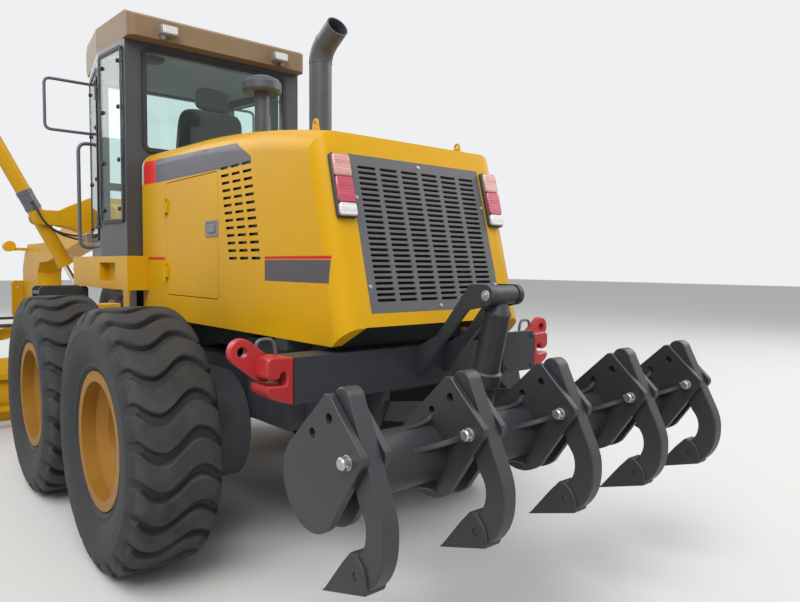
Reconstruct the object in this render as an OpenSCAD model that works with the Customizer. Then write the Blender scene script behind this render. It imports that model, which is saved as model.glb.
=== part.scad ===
// Motor grader: rear frame with cab and hood, hinged front frame with blade, rear ripper.
// x runs forward, y to the left, z up. Places are measured from the ground point under
// the tandem pivot, and place() moves the whole machine to the middle of its length.

/* [Machine] */
// Tandem pivot to front axle
wheelbase = 6219; // [6000:10:6400]
// Front end of the nose, ahead of the front axle
nose_ahead = 800; // [760:10:900]
// Distance between the two wheels of a tandem
tandem_pitch = 1538; // [1500:2:1600]
// Distance between the middles of the left and right tyres
track = 2156; // [2120:2:2240]
// Running clearance of pins, shafts and sliding faces
run = 0.4; // [0.3:0.05:0.6]

/* [Tyres and rims] */
// Tyre diameter over the lugs
tyre_d = 1344; // [1320:2:1350]
// Tyre width
tyre_w = 445; // [420:5:460]
// Rim diameter over its flanges
rim_flange_d = 706; // [690:2:720]
// Rim width over its flanges
rim_w = 358; // [330:2:380]
// Diameter of the bead seat
bead_d = 635; // [620:1:650]
// Wheel hub diameter
hub_d = 220; // [180:5:240]
// Wheel spindle diameter
spindle_d = 120; // [90:5:140]

/* [Tandem drives] */
// Inner face of a tandem case, from the machine's middle
case_in = 560; // [540:5:580]
// Width of a tandem case
case_w = 240; // [200:5:250]
// Height of a tandem case
case_h = 600; // [520:10:620]

/* [Rear frame] */
// Height of the rails' lower edge
rail_z = 760; // [740:5:800]
// Rail height
rail_h = 250; // [220:5:280]
// Outer half width over the rails
rail_out = 450; // [430:5:480]
// Rail width
rail_w = 110; // [80:5:130]
// Rear face of the rear beam
beam_back = -1896; // [-1920:2:-1880]
// Half length of the black part of the beam
beam_half = 790; // [760:5:800]
// Length of the beam's red end piece
beam_end = 127; // [110:1:140]
// Beam height
beam_h = 198; // [180:2:220]
// Beam depth, front to back
beam_t = 150; // [120:5:180]
// Height of the beam's top
beam_top = 1180; // [1160:2:1200]
// Articulation hinge, ahead of the tandem pivot
hinge_x = 1960; // [1900:5:2040]

/* [Hood] */
// Width over the hood's sides
hood_w = 1180; // [1120:5:1200]
// Front edge of the hood
hood_front = 480; // [470:2:485]
// Lower edge of the hood
hood_z = 1207; // [1200:1:1230]
// Radius of the hood's long upper edges
hood_edge = 110; // [60:5:140]
// Thickness of the hood's panels
hood_t = 26; // [18:1:40]

/* [Cab] */
// Rear face of the cab
cab_back = 500; // [495:1:520]
// Front face of the cab
cab_front = 1700; // [1680:5:1740]
// Half width of the cab at the rear
cab_half = 690; // [670:5:700]
// Half width at the door post
post_half = 735; // [720:5:750]
// Half width at the front corner
nose_half = 607; // [590:1:620]
// Door post, ahead of the tandem pivot
post_x = 960; // [940:5:980]
// Height of the cab's floor
cab_z = 1620; // [1600:5:1640]
// Underside of the roof
cab_top = 3120; // [3080:5:3140]
// Thickness of posts and walls
cab_t = 55; // [45:1:70]
// Thickness of window glass
glass_t = 6; // [5:0.5:8]

/* [Front frame] */
// Width of the gooseneck beam
neck_w = 300; // [260:5:310]
// Height of the gooseneck's top
neck_top = 2165; // [2140:5:2190]
// Depth of the gooseneck beam
neck_h = 330; // [300:5:360]
// Height of the frame's top over the front axle
nose_top = 1834; // [1800:2:1850]
// Lift cylinder trunnions, ahead of the tandem pivot
saddle_x = 3000; // [2980:5:3050]
// Lift cylinder trunnions, from the machine's middle
saddle_y = 730; // [720:5:750]
// Lift studs on the drawbar, from the machine's middle
stud_y = 230; // [210:5:250]

/* [Blade] */
// Blade length
blade_l = 4270; // [4000:10:4300]
// Blade height
blade_h = 610; // [580:5:620]
// Inner radius of the curved moldboard
blade_r = 400; // [380:5:440]
// Moldboard thickness
blade_t = 22; // [16:1:25]
// Height of the cutting edge above the ground at rest
blade_z = 45; // [30:1:60]
// Circle diameter
circle_d = 1626; // [1600:2:1640]
// Circle centre, ahead of the tandem pivot
circle_x = 3150; // [3130:5:3180]

/* [Ripper] */
// Axis of the ripper tube, behind the tandem pivot
tube_x = -2472; // [-2490:2:-2460]
// Height of the ripper tube's axis
tube_z = 874; // [860:2:890]
// Diameter of the ripper tube
tube_d = 220; // [200:5:230]
// Distance between neighbouring shanks
shank_pitch = 518; // [500:2:530]
// Thickness of a shank
shank_t = 62; // [50:1:70]
// Thickness of a shank holder plate
holder_t = 26; // [20:1:32]

/* [Hidden] */
$fn = 64;

yellow = "gold";
dark = "dimgray";
black = [0.16, 0.17, 0.18];
red = "firebrick";

axle_z = tyre_d / 2;
half_track = track / 2;
half_pitch = tandem_pitch / 2;
nose_x = wheelbase + nose_ahead;
shank_back = tube_x - 366;
mid_x = (nose_x + shank_back) / 2;

// The whole machine, moved so that the middle of its length lies over the origin.
module place() translate([-mid_x, 0, 0]) children();
// Left (1) or right (-1) copy of a piece drawn on the left side.
module side(s) mirror([0, s < 0 ? 1 : 0, 0]) children();
module both() for (s = [1, -1]) side(s) children();
// Box between two corners.
module block(a, b) translate(a) cube(b - a);
// Profile in x and z, carried along y.
module along_y(y0, y1) translate([0, y1, 0]) rotate([90, 0, 0]) linear_extrude(y1 - y0) children();
// Profile in y and z, carried along x.
module along_x(x0, x1) translate([x0, 0, 0]) rotate([90, 0, 90]) linear_extrude(x1 - x0) children();
// Profile in x and y, carried along z.
module along_z(z0, z1) translate([0, 0, z0]) linear_extrude(z1 - z0) children();
// Round bar between two heights, or along y or x.
module rod_z(p, r, z0, z1) translate([p[0], p[1], z0]) cylinder(h = z1 - z0, r = r);
module rod_y(x, z, r, y0, y1) translate([x, y1, z]) rotate([90, 0, 0]) cylinder(h = y1 - y0, r = r);
module rod_x(y, z, r, x0, x1) translate([x0, y, z]) rotate([0, 90, 0]) cylinder(h = x1 - x0, r = r);
// Flat strip with round ends between two points.
module strip(a, b, r) {
  translate(a) circle(r);
  translate(b) circle(r);
  translate(a) rotate(atan2(b[1] - a[1], b[0] - a[0])) translate([0, -r])
    square([norm(b - a), 2 * r]);
}
// Rectangle with round corners.
module round_rect(a, b, r) {
  translate([a[0] + r, a[1]]) square([b[0] - a[0] - 2 * r, b[1] - a[1]]);
  translate([a[0], a[1] + r]) square([b[0] - a[0], b[1] - a[1] - 2 * r]);
  for (x = [a[0] + r, b[0] - r], z = [a[1] + r, b[1] - r]) translate([x, z]) circle(r);
}

// Wheels. Each is drawn about its own middle with its outer side towards +y.
bead_r = bead_d / 2;
flange_r = rim_flange_d / 2;
half_tyre = tyre_w / 2;
half_rim = rim_w / 2;
flange_t = 14;
barrel_t = 17;
disc_y = -30;
disc_t = 25;
rear_hub = 250;
front_hub = 150;

module turn_y() rotate([-90, 0, 0]) rotate_extrude($fn = 96) children();

// Tread: lugs that wave across the tyre, with a groove between two of them.
lugs = 24;
lug_pitch = 360 / lugs;
lug_share = 0.66;
lug_deep = 30;
lug_wave = 50;
tread_half = half_tyre - 28;
// share of the tread's width from its outer edge, drop of the tyre's crown there
stations = [[0, 12], [0.28, 0], [0.72, 0], [1, 12]];
// lines along a lug: place as a share of the pitch, depth below the lug's face
lug_lines = [[-lug_share / 2, 0], [lug_share / 2, 0], [0.5, lug_deep]];
// rings of a side: radius, distance from the middle
side_rings = [[520, half_tyre], [flange_r + 4, half_rim - flange_t - run],
  [(bead_r + run) / cos(lug_pitch / 2), half_rim - flange_t - run]];
function wave_at(u) = -lug_wave / axle_z * 180 / PI * sin(360 * (u - 0.5) / 0.88);
function tyre_point(a, r, y) = [r * sin(a), y, -r * cos(a)];
// Points: the tread's lines station by station, then the rings from outside to inside.
tread_points = [for (u = stations, i = [0:lugs - 1], l = lug_lines)
  tyre_point((i + l[0]) * lug_pitch + wave_at(u[0]), axle_z - u[1] - l[1], tread_half * (1 - 2 * u[0]))];
ring_points = [for (s = [1, -1], q = side_rings, i = [0:lugs - 1]) tyre_point(i * lug_pitch, q[0], s * q[1])];
// Index of line l of lug i at station k, and of place i on ring q of the outer (0) or inner (1) side.
function lug_at(k, i, l) = k * 3 * lugs + (3 * i + l) % (3 * lugs);
function ring_at(m, q, i) = len(tread_points) + (3 * m + q) * lugs + i % lugs;
// Turns a face round for the outer side.
function turned(m, f) = m == 1 ? f : [for (i = [len(f) - 1:-1:0]) f[i]];
tread_faces = [for (k = [0:2], i = [0:lugs - 1], l = [0:2])
  each [[lug_at(k, i, l), lug_at(k + 1, i, l), lug_at(k, i, l + 1)],
    [lug_at(k, i, l + 1), lug_at(k + 1, i, l), lug_at(k + 1, i, l + 1)]]];
shoulder_faces = [for (m = [0, 1], i = [0:lugs - 1]) let (k = 3 * m) each [
  turned(m, [lug_at(k, i, 1), lug_at(k, i, 0), ring_at(m, 0, i)]),
  turned(m, [lug_at(k, i, 2), lug_at(k, i, 1), ring_at(m, 0, i)]),
  turned(m, [lug_at(k, i, 2), ring_at(m, 0, i), ring_at(m, 0, i + 1)]),
  turned(m, [lug_at(k, i, 3), lug_at(k, i, 2), ring_at(m, 0, i + 1)])]];
side_faces = [for (m = [0, 1], q = [0, 1], i = [0:lugs - 1])
  turned(m, [ring_at(m, q, i), ring_at(m, q + 1, i), ring_at(m, q + 1, i + 1), ring_at(m, q, i + 1)])];
bore_faces = [for (i = [0:lugs - 1])
  [ring_at(0, 2, i + 1), ring_at(1, 2, i + 1), ring_at(1, 2, i), ring_at(0, 2, i)]];
module tyre() color(black) polyhedron(concat(tread_points, ring_points),
  concat(tread_faces, shoulder_faces, side_faces, bore_faces));

module rim(hub_in) {
  wall_r = bead_r - barrel_t;
  lip = half_rim - flange_t;
  bore_r = spindle_d / 2 + run;
  // section: radius, distance from the middle
  color(yellow) turn_y() polygon([[flange_r, -half_rim], [flange_r, -lip], [bead_r, -lip],
    [bead_r, lip], [flange_r, lip], [flange_r, half_rim], [wall_r, half_rim], [wall_r, 105],
    [240, 58], [222, disc_y + disc_t], [84, disc_y + disc_t], [75, disc_y + disc_t + 22],
    [0, disc_y + disc_t + 22], [0, -75], [bore_r, -75], [bore_r, -hub_in], [hub_d / 2, -hub_in],
    [hub_d / 2, disc_y], [232, disc_y], [252, 36], [wall_r, 72], [wall_r, -half_rim]]);
}

wheel_places = [[-half_pitch, half_track], [half_pitch, half_track], [wheelbase, half_track]];
module wheel_at(i, s) place() side(s)
  translate([wheel_places[i][0], wheel_places[i][1], axle_z]) children();

module tyre_rear_left() wheel_at(0, 1) tyre();
module tyre_mid_left() wheel_at(1, 1) tyre();
module tyre_front_left() wheel_at(2, 1) tyre();
module tyre_rear_right() wheel_at(0, -1) tyre();
module tyre_mid_right() wheel_at(1, -1) tyre();
module tyre_front_right() wheel_at(2, -1) tyre();
module rim_rear_left() wheel_at(0, 1) rim(rear_hub);
module rim_mid_left() wheel_at(1, 1) rim(rear_hub);
module rim_front_left() wheel_at(2, 1) rim(front_hub);
module rim_rear_right() wheel_at(0, -1) rim(rear_hub);
module rim_mid_right() wheel_at(1, -1) rim(rear_hub);
module rim_front_right() wheel_at(2, -1) rim(front_hub);

// Tandem cases, each on a trunnion of the rear axle.
trunnion_r = 150;
trunnion_end = case_in + 115;
case_out = case_in + case_w;
module tandem(s) color(black) place() side(s) difference() {
  union() {
    along_y(case_in, case_out) strip([-half_pitch, axle_z], [half_pitch, axle_z], case_h / 2);
    for (x = [-half_pitch, half_pitch]) {
      rod_y(x, axle_z, 130, case_out, half_track - rear_hub - run);
      rod_y(x, axle_z, spindle_d / 2, case_out, half_track - 80);
    }
  }
  rod_y(0, axle_z, trunnion_r + run, case_in - 1, trunnion_end + 5);
}
module tandem_left() tandem(1);
module tandem_right() tandem(-1);

// Axle housing across the rear frame, with its saddles up to the rails.
module rear_axle() color(black) place() {
  rod_y(0, axle_z, trunnion_r, -trunnion_end, trunnion_end);
  rod_y(0, axle_z, 200, -300, 300);
  both() rod_y(0, axle_z, 185, 505, case_in - 5);
}

// Rear frame: rails, rear beam, cross members, hinge fork, ripper and mast brackets.
rail_top = rail_z + rail_h;
fork_half = 180;
fork_low = [690, 760];
fork_high = [1260, 1330];
hinge_r = 45;
link_x = -1700;
link_low_z = 600;
link_gap = 250;
link_y = 255;
link_t = 30;
link_pin = 28;
mast_x = -2330;
mast_z = 1440;
mast_y = 80;
mast_t = 25;
mast_pin = 26;
beam_low = beam_top - beam_h;
beam_front = beam_back + beam_t;
module rear_frame() color(black) place() {
  both() {
    // main rail with its axle saddle, its taper to the hinge and the box behind the rear tyre
    difference() {
      union() {
        block([beam_front - 5, rail_out - rail_w, rail_z], [1250, rail_out, rail_top]);
        block([-170, rail_out - rail_w, 700], [170, rail_out, rail_z + 1]);
      }
      rod_y(0, axle_z, trunnion_r + run, 300, 500);
    }
    along_z(rail_z, rail_top) polygon([[1249, rail_out - rail_w], [1249, rail_out],
      [1700, fork_half + 20], [1700, fork_half - 90]]);
    block([-1440, rail_out - 1, 740], [-1010, case_in - 12, 1180]);
    // hood and cab carriers
    for (x = [-1500, 300]) {
      block([x, rail_out - rail_w, rail_top - 1], [x + 120, rail_out, 1160]);
      block([x, rail_out - rail_w, 1150], [x + 120, hood_half, hood_z - run]);
    }
    block([560, rail_out - rail_w, rail_top - 1], [760, rail_out, 1383 - run]);
    block([1500, 120, rail_top - 1], [1640, 300, 1383 - run]);
    // ripper brackets with their pivot bores
    difference() {
      along_y(link_y + link_t / 2 + 5, link_y + link_t / 2 + 35) polygon([
        [beam_back, beam_low + 2], [-1600, beam_low + 2], [-1600, 700], [-1640, 540],
        [-1760, 540], [-1780, 700], [beam_back, 940]]);
      for (z = [link_low_z, link_low_z + link_gap])
        rod_y(link_x, z, link_pin + run, link_y, link_y + 80);
    }
    // mast plates for the ripper cylinder
    difference() {
      along_y(mast_y, mast_y + mast_t) union() {
        strip([mast_x, mast_z], [mast_x + 60, mast_z], 46);
        polygon([[mast_x, mast_z + 46], [mast_x + 90, mast_z + 46], [mast_x + 300, beam_top + 60],
          [beam_back + 5, beam_top - 5], [beam_back + 5, beam_top - 150], [mast_x + 110, mast_z - 70],
          [mast_x, mast_z - 46]]);
      }
      rod_y(mast_x, mast_z, mast_pin + run, mast_y - 1, mast_y + mast_t + 1);
    }
  }
  // rear beam, with the stiffening strips on its face
  block([beam_back, -beam_half, beam_low], [beam_front, beam_half, beam_top]);
  block([beam_front - 1, -rail_out, 935], [beam_front + 140, rail_out, rail_top]);
  // cross members
  for (x = [-900, 800]) block([x, rail_w - rail_out - 1, rail_z + 20],
    [x + 140, rail_out - rail_w + 1, rail_top - 20]);
  block([1560, -200, rail_z - 20], [1701, 200, fork_high[1]]);
  // hinge fork
  for (z = [fork_low, fork_high]) difference() {
    along_z(z[0], z[1]) union() {
      translate([1690, -fork_half]) square([hinge_x - 1690, 2 * fork_half]);
      translate([hinge_x, 0]) circle(fork_half);
    }
    rod_z([hinge_x, 0], hinge_r + run, z[0] - 1, z[1] + 1);
  }
}

// Red end pieces of the beam, with the tie-down lug ahead of each.
hook_x = beam_back + 96;
hook_at = [977, 1206];
module beam_ends() color(red) place() both() difference() {
  union() {
    along_x(beam_back, beam_back + beam_t) polygon([[beam_half + run, beam_low], [beam_half + run, beam_top],
      [beam_half + beam_end - 24, beam_top + 8], [beam_half + beam_end, beam_top - 20],
      [beam_half + beam_end, beam_low + 62], [beam_half + 70, beam_low + 20]]);
    along_x(hook_x, hook_x + 40) strip(hook_at, [880, 1130], 56);
  }
  rod_x(hook_at[0], hook_at[1], 24, hook_x - 1, hook_x + 41);
}

// Engine block under the hood, with the cooler core behind the grille.
module engine() color(dark) place() {
  block([-1150, -330, rail_top + 40], [200, 330, 1900]);
  for (x = [-1100, 50]) block([x, 20 - rail_out, rail_top + run], [x + 100, rail_out - 20, rail_top + 50]);
  block([-1640, -440, 1330], [-1560, 440, 2080]);
  block([-1640, -rail_out, rail_top + run], [-1500 - run, rail_out, 1330.5]);
}

// Hood. The top runs straight back from the cab and then bends down along a large arc.
hood_half = hood_w / 2;
bend_x = -350;
corner_r = 92;
bend_r = 9200;
bend_slope = 1.5;
hood_top = 2343;
bend_z = hood_top - (hood_front - bend_x) * tan(bend_slope);
rear_low = [-1951, 1373];
rear_high = [-1735, 2200];
rear_slope = (rear_high[0] - rear_low[0]) / (rear_high[1] - rear_low[1]);
function rear_at(z) = rear_low[0] + (z - rear_low[1]) * rear_slope;
// Side outline of the hood, t inside its outer faces.
module hood_side(t) polygon([[hood_front - t, hood_z - (t > 0 ? 1 : 0)], [hood_front - t, 2600],
  [rear_at(2600) + t, 2600], [rear_at(1290) + t, 1290], [rear_at(1290) + 96, hood_z - (t > 0 ? 1 : 0)]]);
// Cross-section, as distance down from the top and half width.
module hood_cut(t) {
  r = hood_edge - t;
  w = hood_half - t;
  union() {
    translate([-1300, -w]) square([1300 - t - r, 2 * w]);
    translate([-1300, r - w]) square([1300 - t, 2 * (w - r)]);
    for (s = [1, -1]) translate([-t - r, s * (w - r)]) circle(r, $fn = 48);
  }
}
module hood_body(t) intersection() {
  along_y(-hood_half, hood_half) hood_side(t);
  on_rear() translate([0, -300, 0]) rotate([-90, 0, 0]) linear_extrude(2200)
    round_rect([t - hood_half, t], [hood_half - t, 2600], corner_r - t);
  union() {
    translate([bend_x, 0, bend_z]) rotate([0, -bend_slope, 0]) translate([-6, 0, 0])
      rotate([0, 90, 0]) mirror([1, 0, 0]) linear_extrude(906) hood_cut(t + 0.5);
    translate([bend_x + bend_r * sin(bend_slope), 0, bend_z - bend_r * cos(bend_slope)])
      rotate([90, 0, 0]) rotate([0, 0, 90 + bend_slope])
        rotate_extrude(angle = 13, $fn = 720) translate([bend_r, 0]) hood_cut(t);
  }
}
// Openings: louvred door on each side, grille at the rear.
door_back = -745;
door_front = 35;
door_low = 1365;
door_high = 2092;
module hood_door_shape(t) round_rect([door_back + t, door_low + t], [door_front - t, door_high - t], 30 - t / 2);
grille_low = 1351;
grille_high = 2078;
grille_half = 431;
grille_t = 22;
// Moves a piece drawn flat (x across, y up, z out) onto the sloping rear face.
module on_rear() translate([rear_low[0], 0, rear_low[1]]) rotate([0, atan(rear_slope), 0])
  rotate([90, 0, -90]) children();
rear_len = (grille_high - grille_low) / cos(atan(rear_slope));
module hood() color(yellow) place() {
  hood_shell();
  both() hood_lugs();
  rod_z([stack_x, 0], 92, top_at(stack_x) - 24, collar_top(stack_x));
  rod_z([clean_x, 0], 74, top_at(clean_x) - 24, collar_top(clean_x));
}
module hood_shell() difference() {
  hood_body(0);
  hood_body(hood_t);
  both() along_y(hood_half - hood_t - 1, hood_half + 1) hood_door_shape(0);
  on_rear() translate([-grille_half - run, -22 - run, -60])
    cube([2 * grille_half + 2 * run, rear_len + 2 * run, 100]);
  // the rear panel ends above the side skirts
  along_x(rear_at(hood_z) - 60, rear_at(hood_z) + 180) polygon([[20 - hood_inner, hood_z - 2],
    [hood_inner - 20, hood_z - 2], [hood_inner - 90, hood_z + 86], [90 - hood_inner, hood_z + 86]]);
  both() along_y(hood_half - louvre_deep, hood_half + 1) louvres();
}
hood_inner = hood_half - hood_t;
// Louvres pressed into the side panel: three leaning columns of slots.
louvre_rows = 13;
louvre_deep = 12;
louvre_w = 95;
louvre_step = 131;
louvre_foot = [-1235, 1592];
louvre_pitch = 41.4;
louvre_lean = 0.203;
module louvres() for (i = [0:2], j = [0:louvre_rows - 1])
  translate([louvre_foot[0] + i * louvre_step + j * louvre_pitch * louvre_lean, louvre_foot[1] + j * louvre_pitch])
    square([louvre_w, 15]);
// Hinges of a hood door: lugs with a pin on the hood, an eye on the door.
hood_pin = [door_front + 2, hood_half + 11];
hood_hinges = [1480, 1900];
module hood_lugs() for (z = hood_hinges) {
  for (m = [z - 20 - run, z + 70 + run]) along_z(m, m + 20) union() {
    translate(hood_pin) circle(10);
    translate([hood_pin[0] - 4, hood_half - 2]) square([14, 13]);
  }
  rod_z(hood_pin, 5, z - 20, z + 90);
}
module hood_door(s) color(yellow) place() side(s) difference() {
  union() {
    along_y(hood_half - hood_t, hood_half) hood_door_shape(5);
    for (z = hood_hinges) along_z(z, z + 70) {
      translate(hood_pin) circle(10);
      translate([hood_pin[0] - 40, hood_half + 1]) square([40, 11]);
      translate([hood_pin[0] - 40, hood_half - 2]) square([27, 12]);
    }
  }
  for (z = hood_hinges) rod_z(hood_pin, 5 + run, z - 1, z + 71);
}
module hood_door_left() hood_door(1);
module hood_door_right() hood_door(-1);

// Grille: a plate with columns of slots, seen from behind.
slot_columns = 6;
slot_rows = 25;
slot_frame = 46;
slot_gap = 24;
slot_r = 7;
slot_w = (2 * (grille_half - slot_frame) + slot_gap) / slot_columns - slot_gap;
slot_pitch = (rear_len - 2 * slot_frame) / slot_rows;
module grille() color("silver") place() on_rear() translate([0, 0, -grille_t])
  linear_extrude(grille_t) difference() {
    translate([-grille_half, -22]) square([2 * grille_half, rear_len]);
    for (i = [0:slot_columns - 1], j = [0:slot_rows - 1]) {
      x = slot_frame - grille_half + i * (slot_w + slot_gap);
      y = slot_frame - 22 + (j + 0.5) * slot_pitch;
      strip([x + slot_r, y], [x + slot_w - slot_r, y], slot_r);
    }
  }

// Tail lamps beside the grille and work lamps under the roof.
lamp_in = 439;
lamp_w = 106;
module lamps() color("tomato") place() {
  on_rear() both_x() translate([lamp_in, 415, run]) cube([lamp_w, 300, 36]);
  both() block([roof_back - 72, 376, 3146], [roof_back - run, 500, 3214]);
}
module both_x() for (m = [0, 1]) mirror([m, 0, 0]) children();

// Exhaust stack with its bent, open end, and the engine's air precleaner.
stack_x = -890;
stack_r = 67;
stack_bend = 130;
stack_turn = 60;
clean_x = -170;
// Height of the hood's top at x, and of the collars that carry the stacks.
function top_at(x) = x > bend_x ? bend_z + (x - bend_x) * tan(bend_slope)
  : bend_z - bend_r * cos(bend_slope) + sqrt(pow(bend_r, 2) - pow(bend_x + bend_r * sin(bend_slope) - x, 2));
function collar_top(x) = top_at(x) + 14;
module stacks() color(dark) place() {
  difference() {
    union() {
      rod_z([stack_x, 0], stack_r, collar_top(stack_x) + run, 2765);
      translate([stack_x - stack_bend, 0, 2760]) rotate([90, 0, 0])
        rotate_extrude(angle = stack_turn) translate([stack_bend, 0]) circle(stack_r + 2);
      at_bend() translate([0, 0, -5]) cylinder(h = 135, r = stack_r);
    }
    at_bend() translate([0, 0, 6]) cylinder(h = 125, r = stack_r - 7);
  }
  translate([clean_x, 0, 0]) rotate_extrude() polygon([[0, collar_top(clean_x) + run],
    [49, collar_top(clean_x) + run], [49, 2728], [118, 2728], [131, 2745], [131, 2790], [112, 2818],
    [72, 2836], [0, 2842]]);
}
module at_bend() translate([stack_x - stack_bend, 0, 2760]) rotate([0, -stack_turn, 0])
  translate([stack_bend, 0, 0]) children();

// Cab shell: plan outline, t inside the outer faces, with posts, sills and a floor.
function plan(t) = [[cab_back + t, cab_half - t], [post_x, post_half - t], [1650, nose_half - t],
  [cab_front - t, 540 - t * 0.4], [cab_front - t, -540 + t * 0.4], [1650, t - nose_half],
  [post_x, t - post_half], [cab_back + t, t - cab_half]];
sill = cab_z + 260;
head = 3056;
// Angle of the door's side in plan, and of the rear quarter.
door_turn = atan2(nose_half - post_half, 1650 - post_x);
quarter_turn = atan2(post_half - cab_half, post_x - cab_back);
door_len = norm([1650 - post_x, nose_half - post_half]);
quarter_len = norm([post_x - cab_back, post_half - cab_half]);
// Flat piece on the door's side or the quarter: x along it, y out, z up from the ground.
module on_door() translate([post_x, post_half, 0]) rotate([0, 0, door_turn]) children();
module on_quarter() translate([cab_back, cab_half, 0]) rotate([0, 0, quarter_turn]) children();
module cab() color(dark) place() {
  cab_shell();
  both() on_door() door_lugs();
}
module cab_shell() difference() {
  along_z(cab_z, cab_top) polygon(plan(0));
  along_z(cab_z + 60, cab_top + 1) polygon(plan(cab_t));
  // rear window, quarter windows, windscreen, lower front window
  along_x(cab_back - 1, cab_back + 70) round_rect([-548, 2384], [548, head], 40);
  along_x(cab_front - 70, cab_front + 1) round_rect([-500, 2250], [500, head], 30);
  along_x(cab_front - 70, cab_front + 1) round_rect([-480, 1740], [480, 2190], 30);
  both() on_quarter() along_y(-cab_t - 20, 20)
    round_rect([60, sill], [quarter_len - 50, head], 30);
  both() on_door() along_y(-cab_t - 40, 20) translate([30, cab_z + 70])
    square([door_len - 70, head - cab_z - 50]);
}
// Door hinges: a pin held by two lugs on the post, and the door's eye between them.
door_pin = [22, 13];
door_pin_r = 6;
door_hinges = [cab_z + 230, head - 260];
module door_lugs() for (z = door_hinges) {
  for (m = [z - 20 - run, z + 60 + run]) along_z(m, m + 20) {
    translate(door_pin) circle(12);
    translate([0, -2]) square([26, 15]);
  }
  rod_z(door_pin, door_pin_r, z - 20, z + 80);
}
module door(s) color(dark) place() side(s) on_door() difference() {
  union() {
    difference() {
      along_y(-cab_t + 5, 0) translate([36, cab_z + 76]) square([door_len - 88, head - cab_z - 62]);
      along_y(-cab_t - 1, 1) round_rect([86, cab_z + 140], [door_len - 106, head - 45], 30);
    }
    for (z = door_hinges) along_z(z, z + 60) {
      translate(door_pin) circle(12);
      translate([door_pin[0], 1]) square([38, 14]);
      translate([40, -4]) square([20, 19]);
    }
  }
  for (z = door_hinges) rod_z(door_pin, door_pin_r + run, z - 1, z + 61);
}
module door_left() door(1);
module door_right() door(-1);
module door_glass(s) color("lightblue") place() side(s) on_door()
  along_y(run, glass_t + run) round_rect([66, cab_z + 120], [door_len - 84, head - 25], 24);
module door_glass_left() door_glass(1);
module door_glass_right() door_glass(-1);
module cab_glass() color("lightblue") place() {
  along_x(cab_back - glass_t - run, cab_back - run) round_rect([-572, 2360], [572, head + 24], 50);
  along_x(cab_front + run, cab_front + glass_t + run) round_rect([-516, 2226], [516, head + 24], 30);
  along_x(cab_front + run, cab_front + glass_t + run) round_rect([-496, 1716], [496, 2214], 30);
  both() on_quarter() along_y(run, glass_t + run)
    round_rect([36, sill - 24], [quarter_len - 26, head + 24], 30);
}
roof_back = 385;
roof_front = 1790;
roof_half = 695;
module cab_roof() color(yellow) place() difference() {
  intersection() {
    along_y(-roof_half, roof_half) polygon([[roof_back, cab_top + run], [roof_back, 3255], [roof_back + 90, 3300],
      [roof_front - 90, 3372], [roof_front, 3330], [roof_front, cab_top + 60], [roof_front - 80, cab_top + run]]);
    along_z(cab_top - 1, 3400) round_rect([roof_back - 0.5, -roof_half], [roof_front + 1, roof_half], 60);
  }
  both() along_z(cab_top - 2, 3401) polygon([[1100, 700], [roof_front + 2, 590], [roof_front + 2, 700]]);
}

// Operator's seat on its pedestal, and the steering console.
module seat() color(black) place() {
  block([820, -200, cab_z + 60 + run], [1120, 200, 2040]);
  block([740, -260, 2040 - 1], [1260, 260, 2160]);
  translate([800, 0, 2150]) rotate([0, -12, 0]) block([-110, -250, -10], [10, 250, 620]);
  translate([680, 0, 2760]) rotate([0, -12, 0]) block([-80, -130, -15], [0, 130, 150]);
}
module console() color(black) place() {
  block([1500, -90, cab_z + 60 + run], [1600, 90, 2150]);
  translate([1480, 0, 2140]) rotate([0, -25, 0]) {
    cylinder(h = 170, r = 35);
    translate([0, 0, 165]) difference() {
      cylinder(h = 30, r = 210);
      translate([0, 0, -1]) cylinder(h = 32, r = 180);
    }
    translate([-200, -20, 168]) cube([400, 40, 24]);
  }
}

// Handrails, mirror loops and the steps up to each door.
tube_r = 16;
rail_x = 1725;
rail_foot = 530;
module rails_and_steps() color(black) place() both() {
  rod_z([rail_x, 684], tube_r, 1677, 2591);
  for (z = [1700, 2570, 2655, 3065]) {
    rod_x(rail_foot, z, 9, cab_front + run, rail_x);
    rod_y(rail_x, z, 13, rail_foot - 14, z > 2600 ? 932 : 684);
  }
  rod_z([rail_x, 932], tube_r, 2640, 3080);
  block([1712, 800, 2720], [1738, 930, 2990]);
  // ladder cheeks and treads
  for (x = [1480, 1720]) block([x, 690, 520], [x + 20, 1050, 1383 - run]);
  for (z = [540, 800, 1060, 1320]) block([1499, 760, z], [1721, 1050, z + 24]);
}

// Platform under the cab, with tank and box ahead of the tandem.
module platform() color(yellow) place() difference() {
  block([371, -post_half, 1383], [1745, post_half, cab_z - run]);
  both() block([632, post_half - 60, 1440], [1002, post_half + 1, 1573]);
  block([370, -hood_half - run, 1382], [hood_front + run, hood_half + run, cab_z + 1]);
}

// Front frame: hinge barrel, gooseneck, nose with axle and drawbar brackets, lift saddle.
pivot_z = 700;
swivel_x = wheelbase - 519;
swivel_z = 850;
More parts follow.
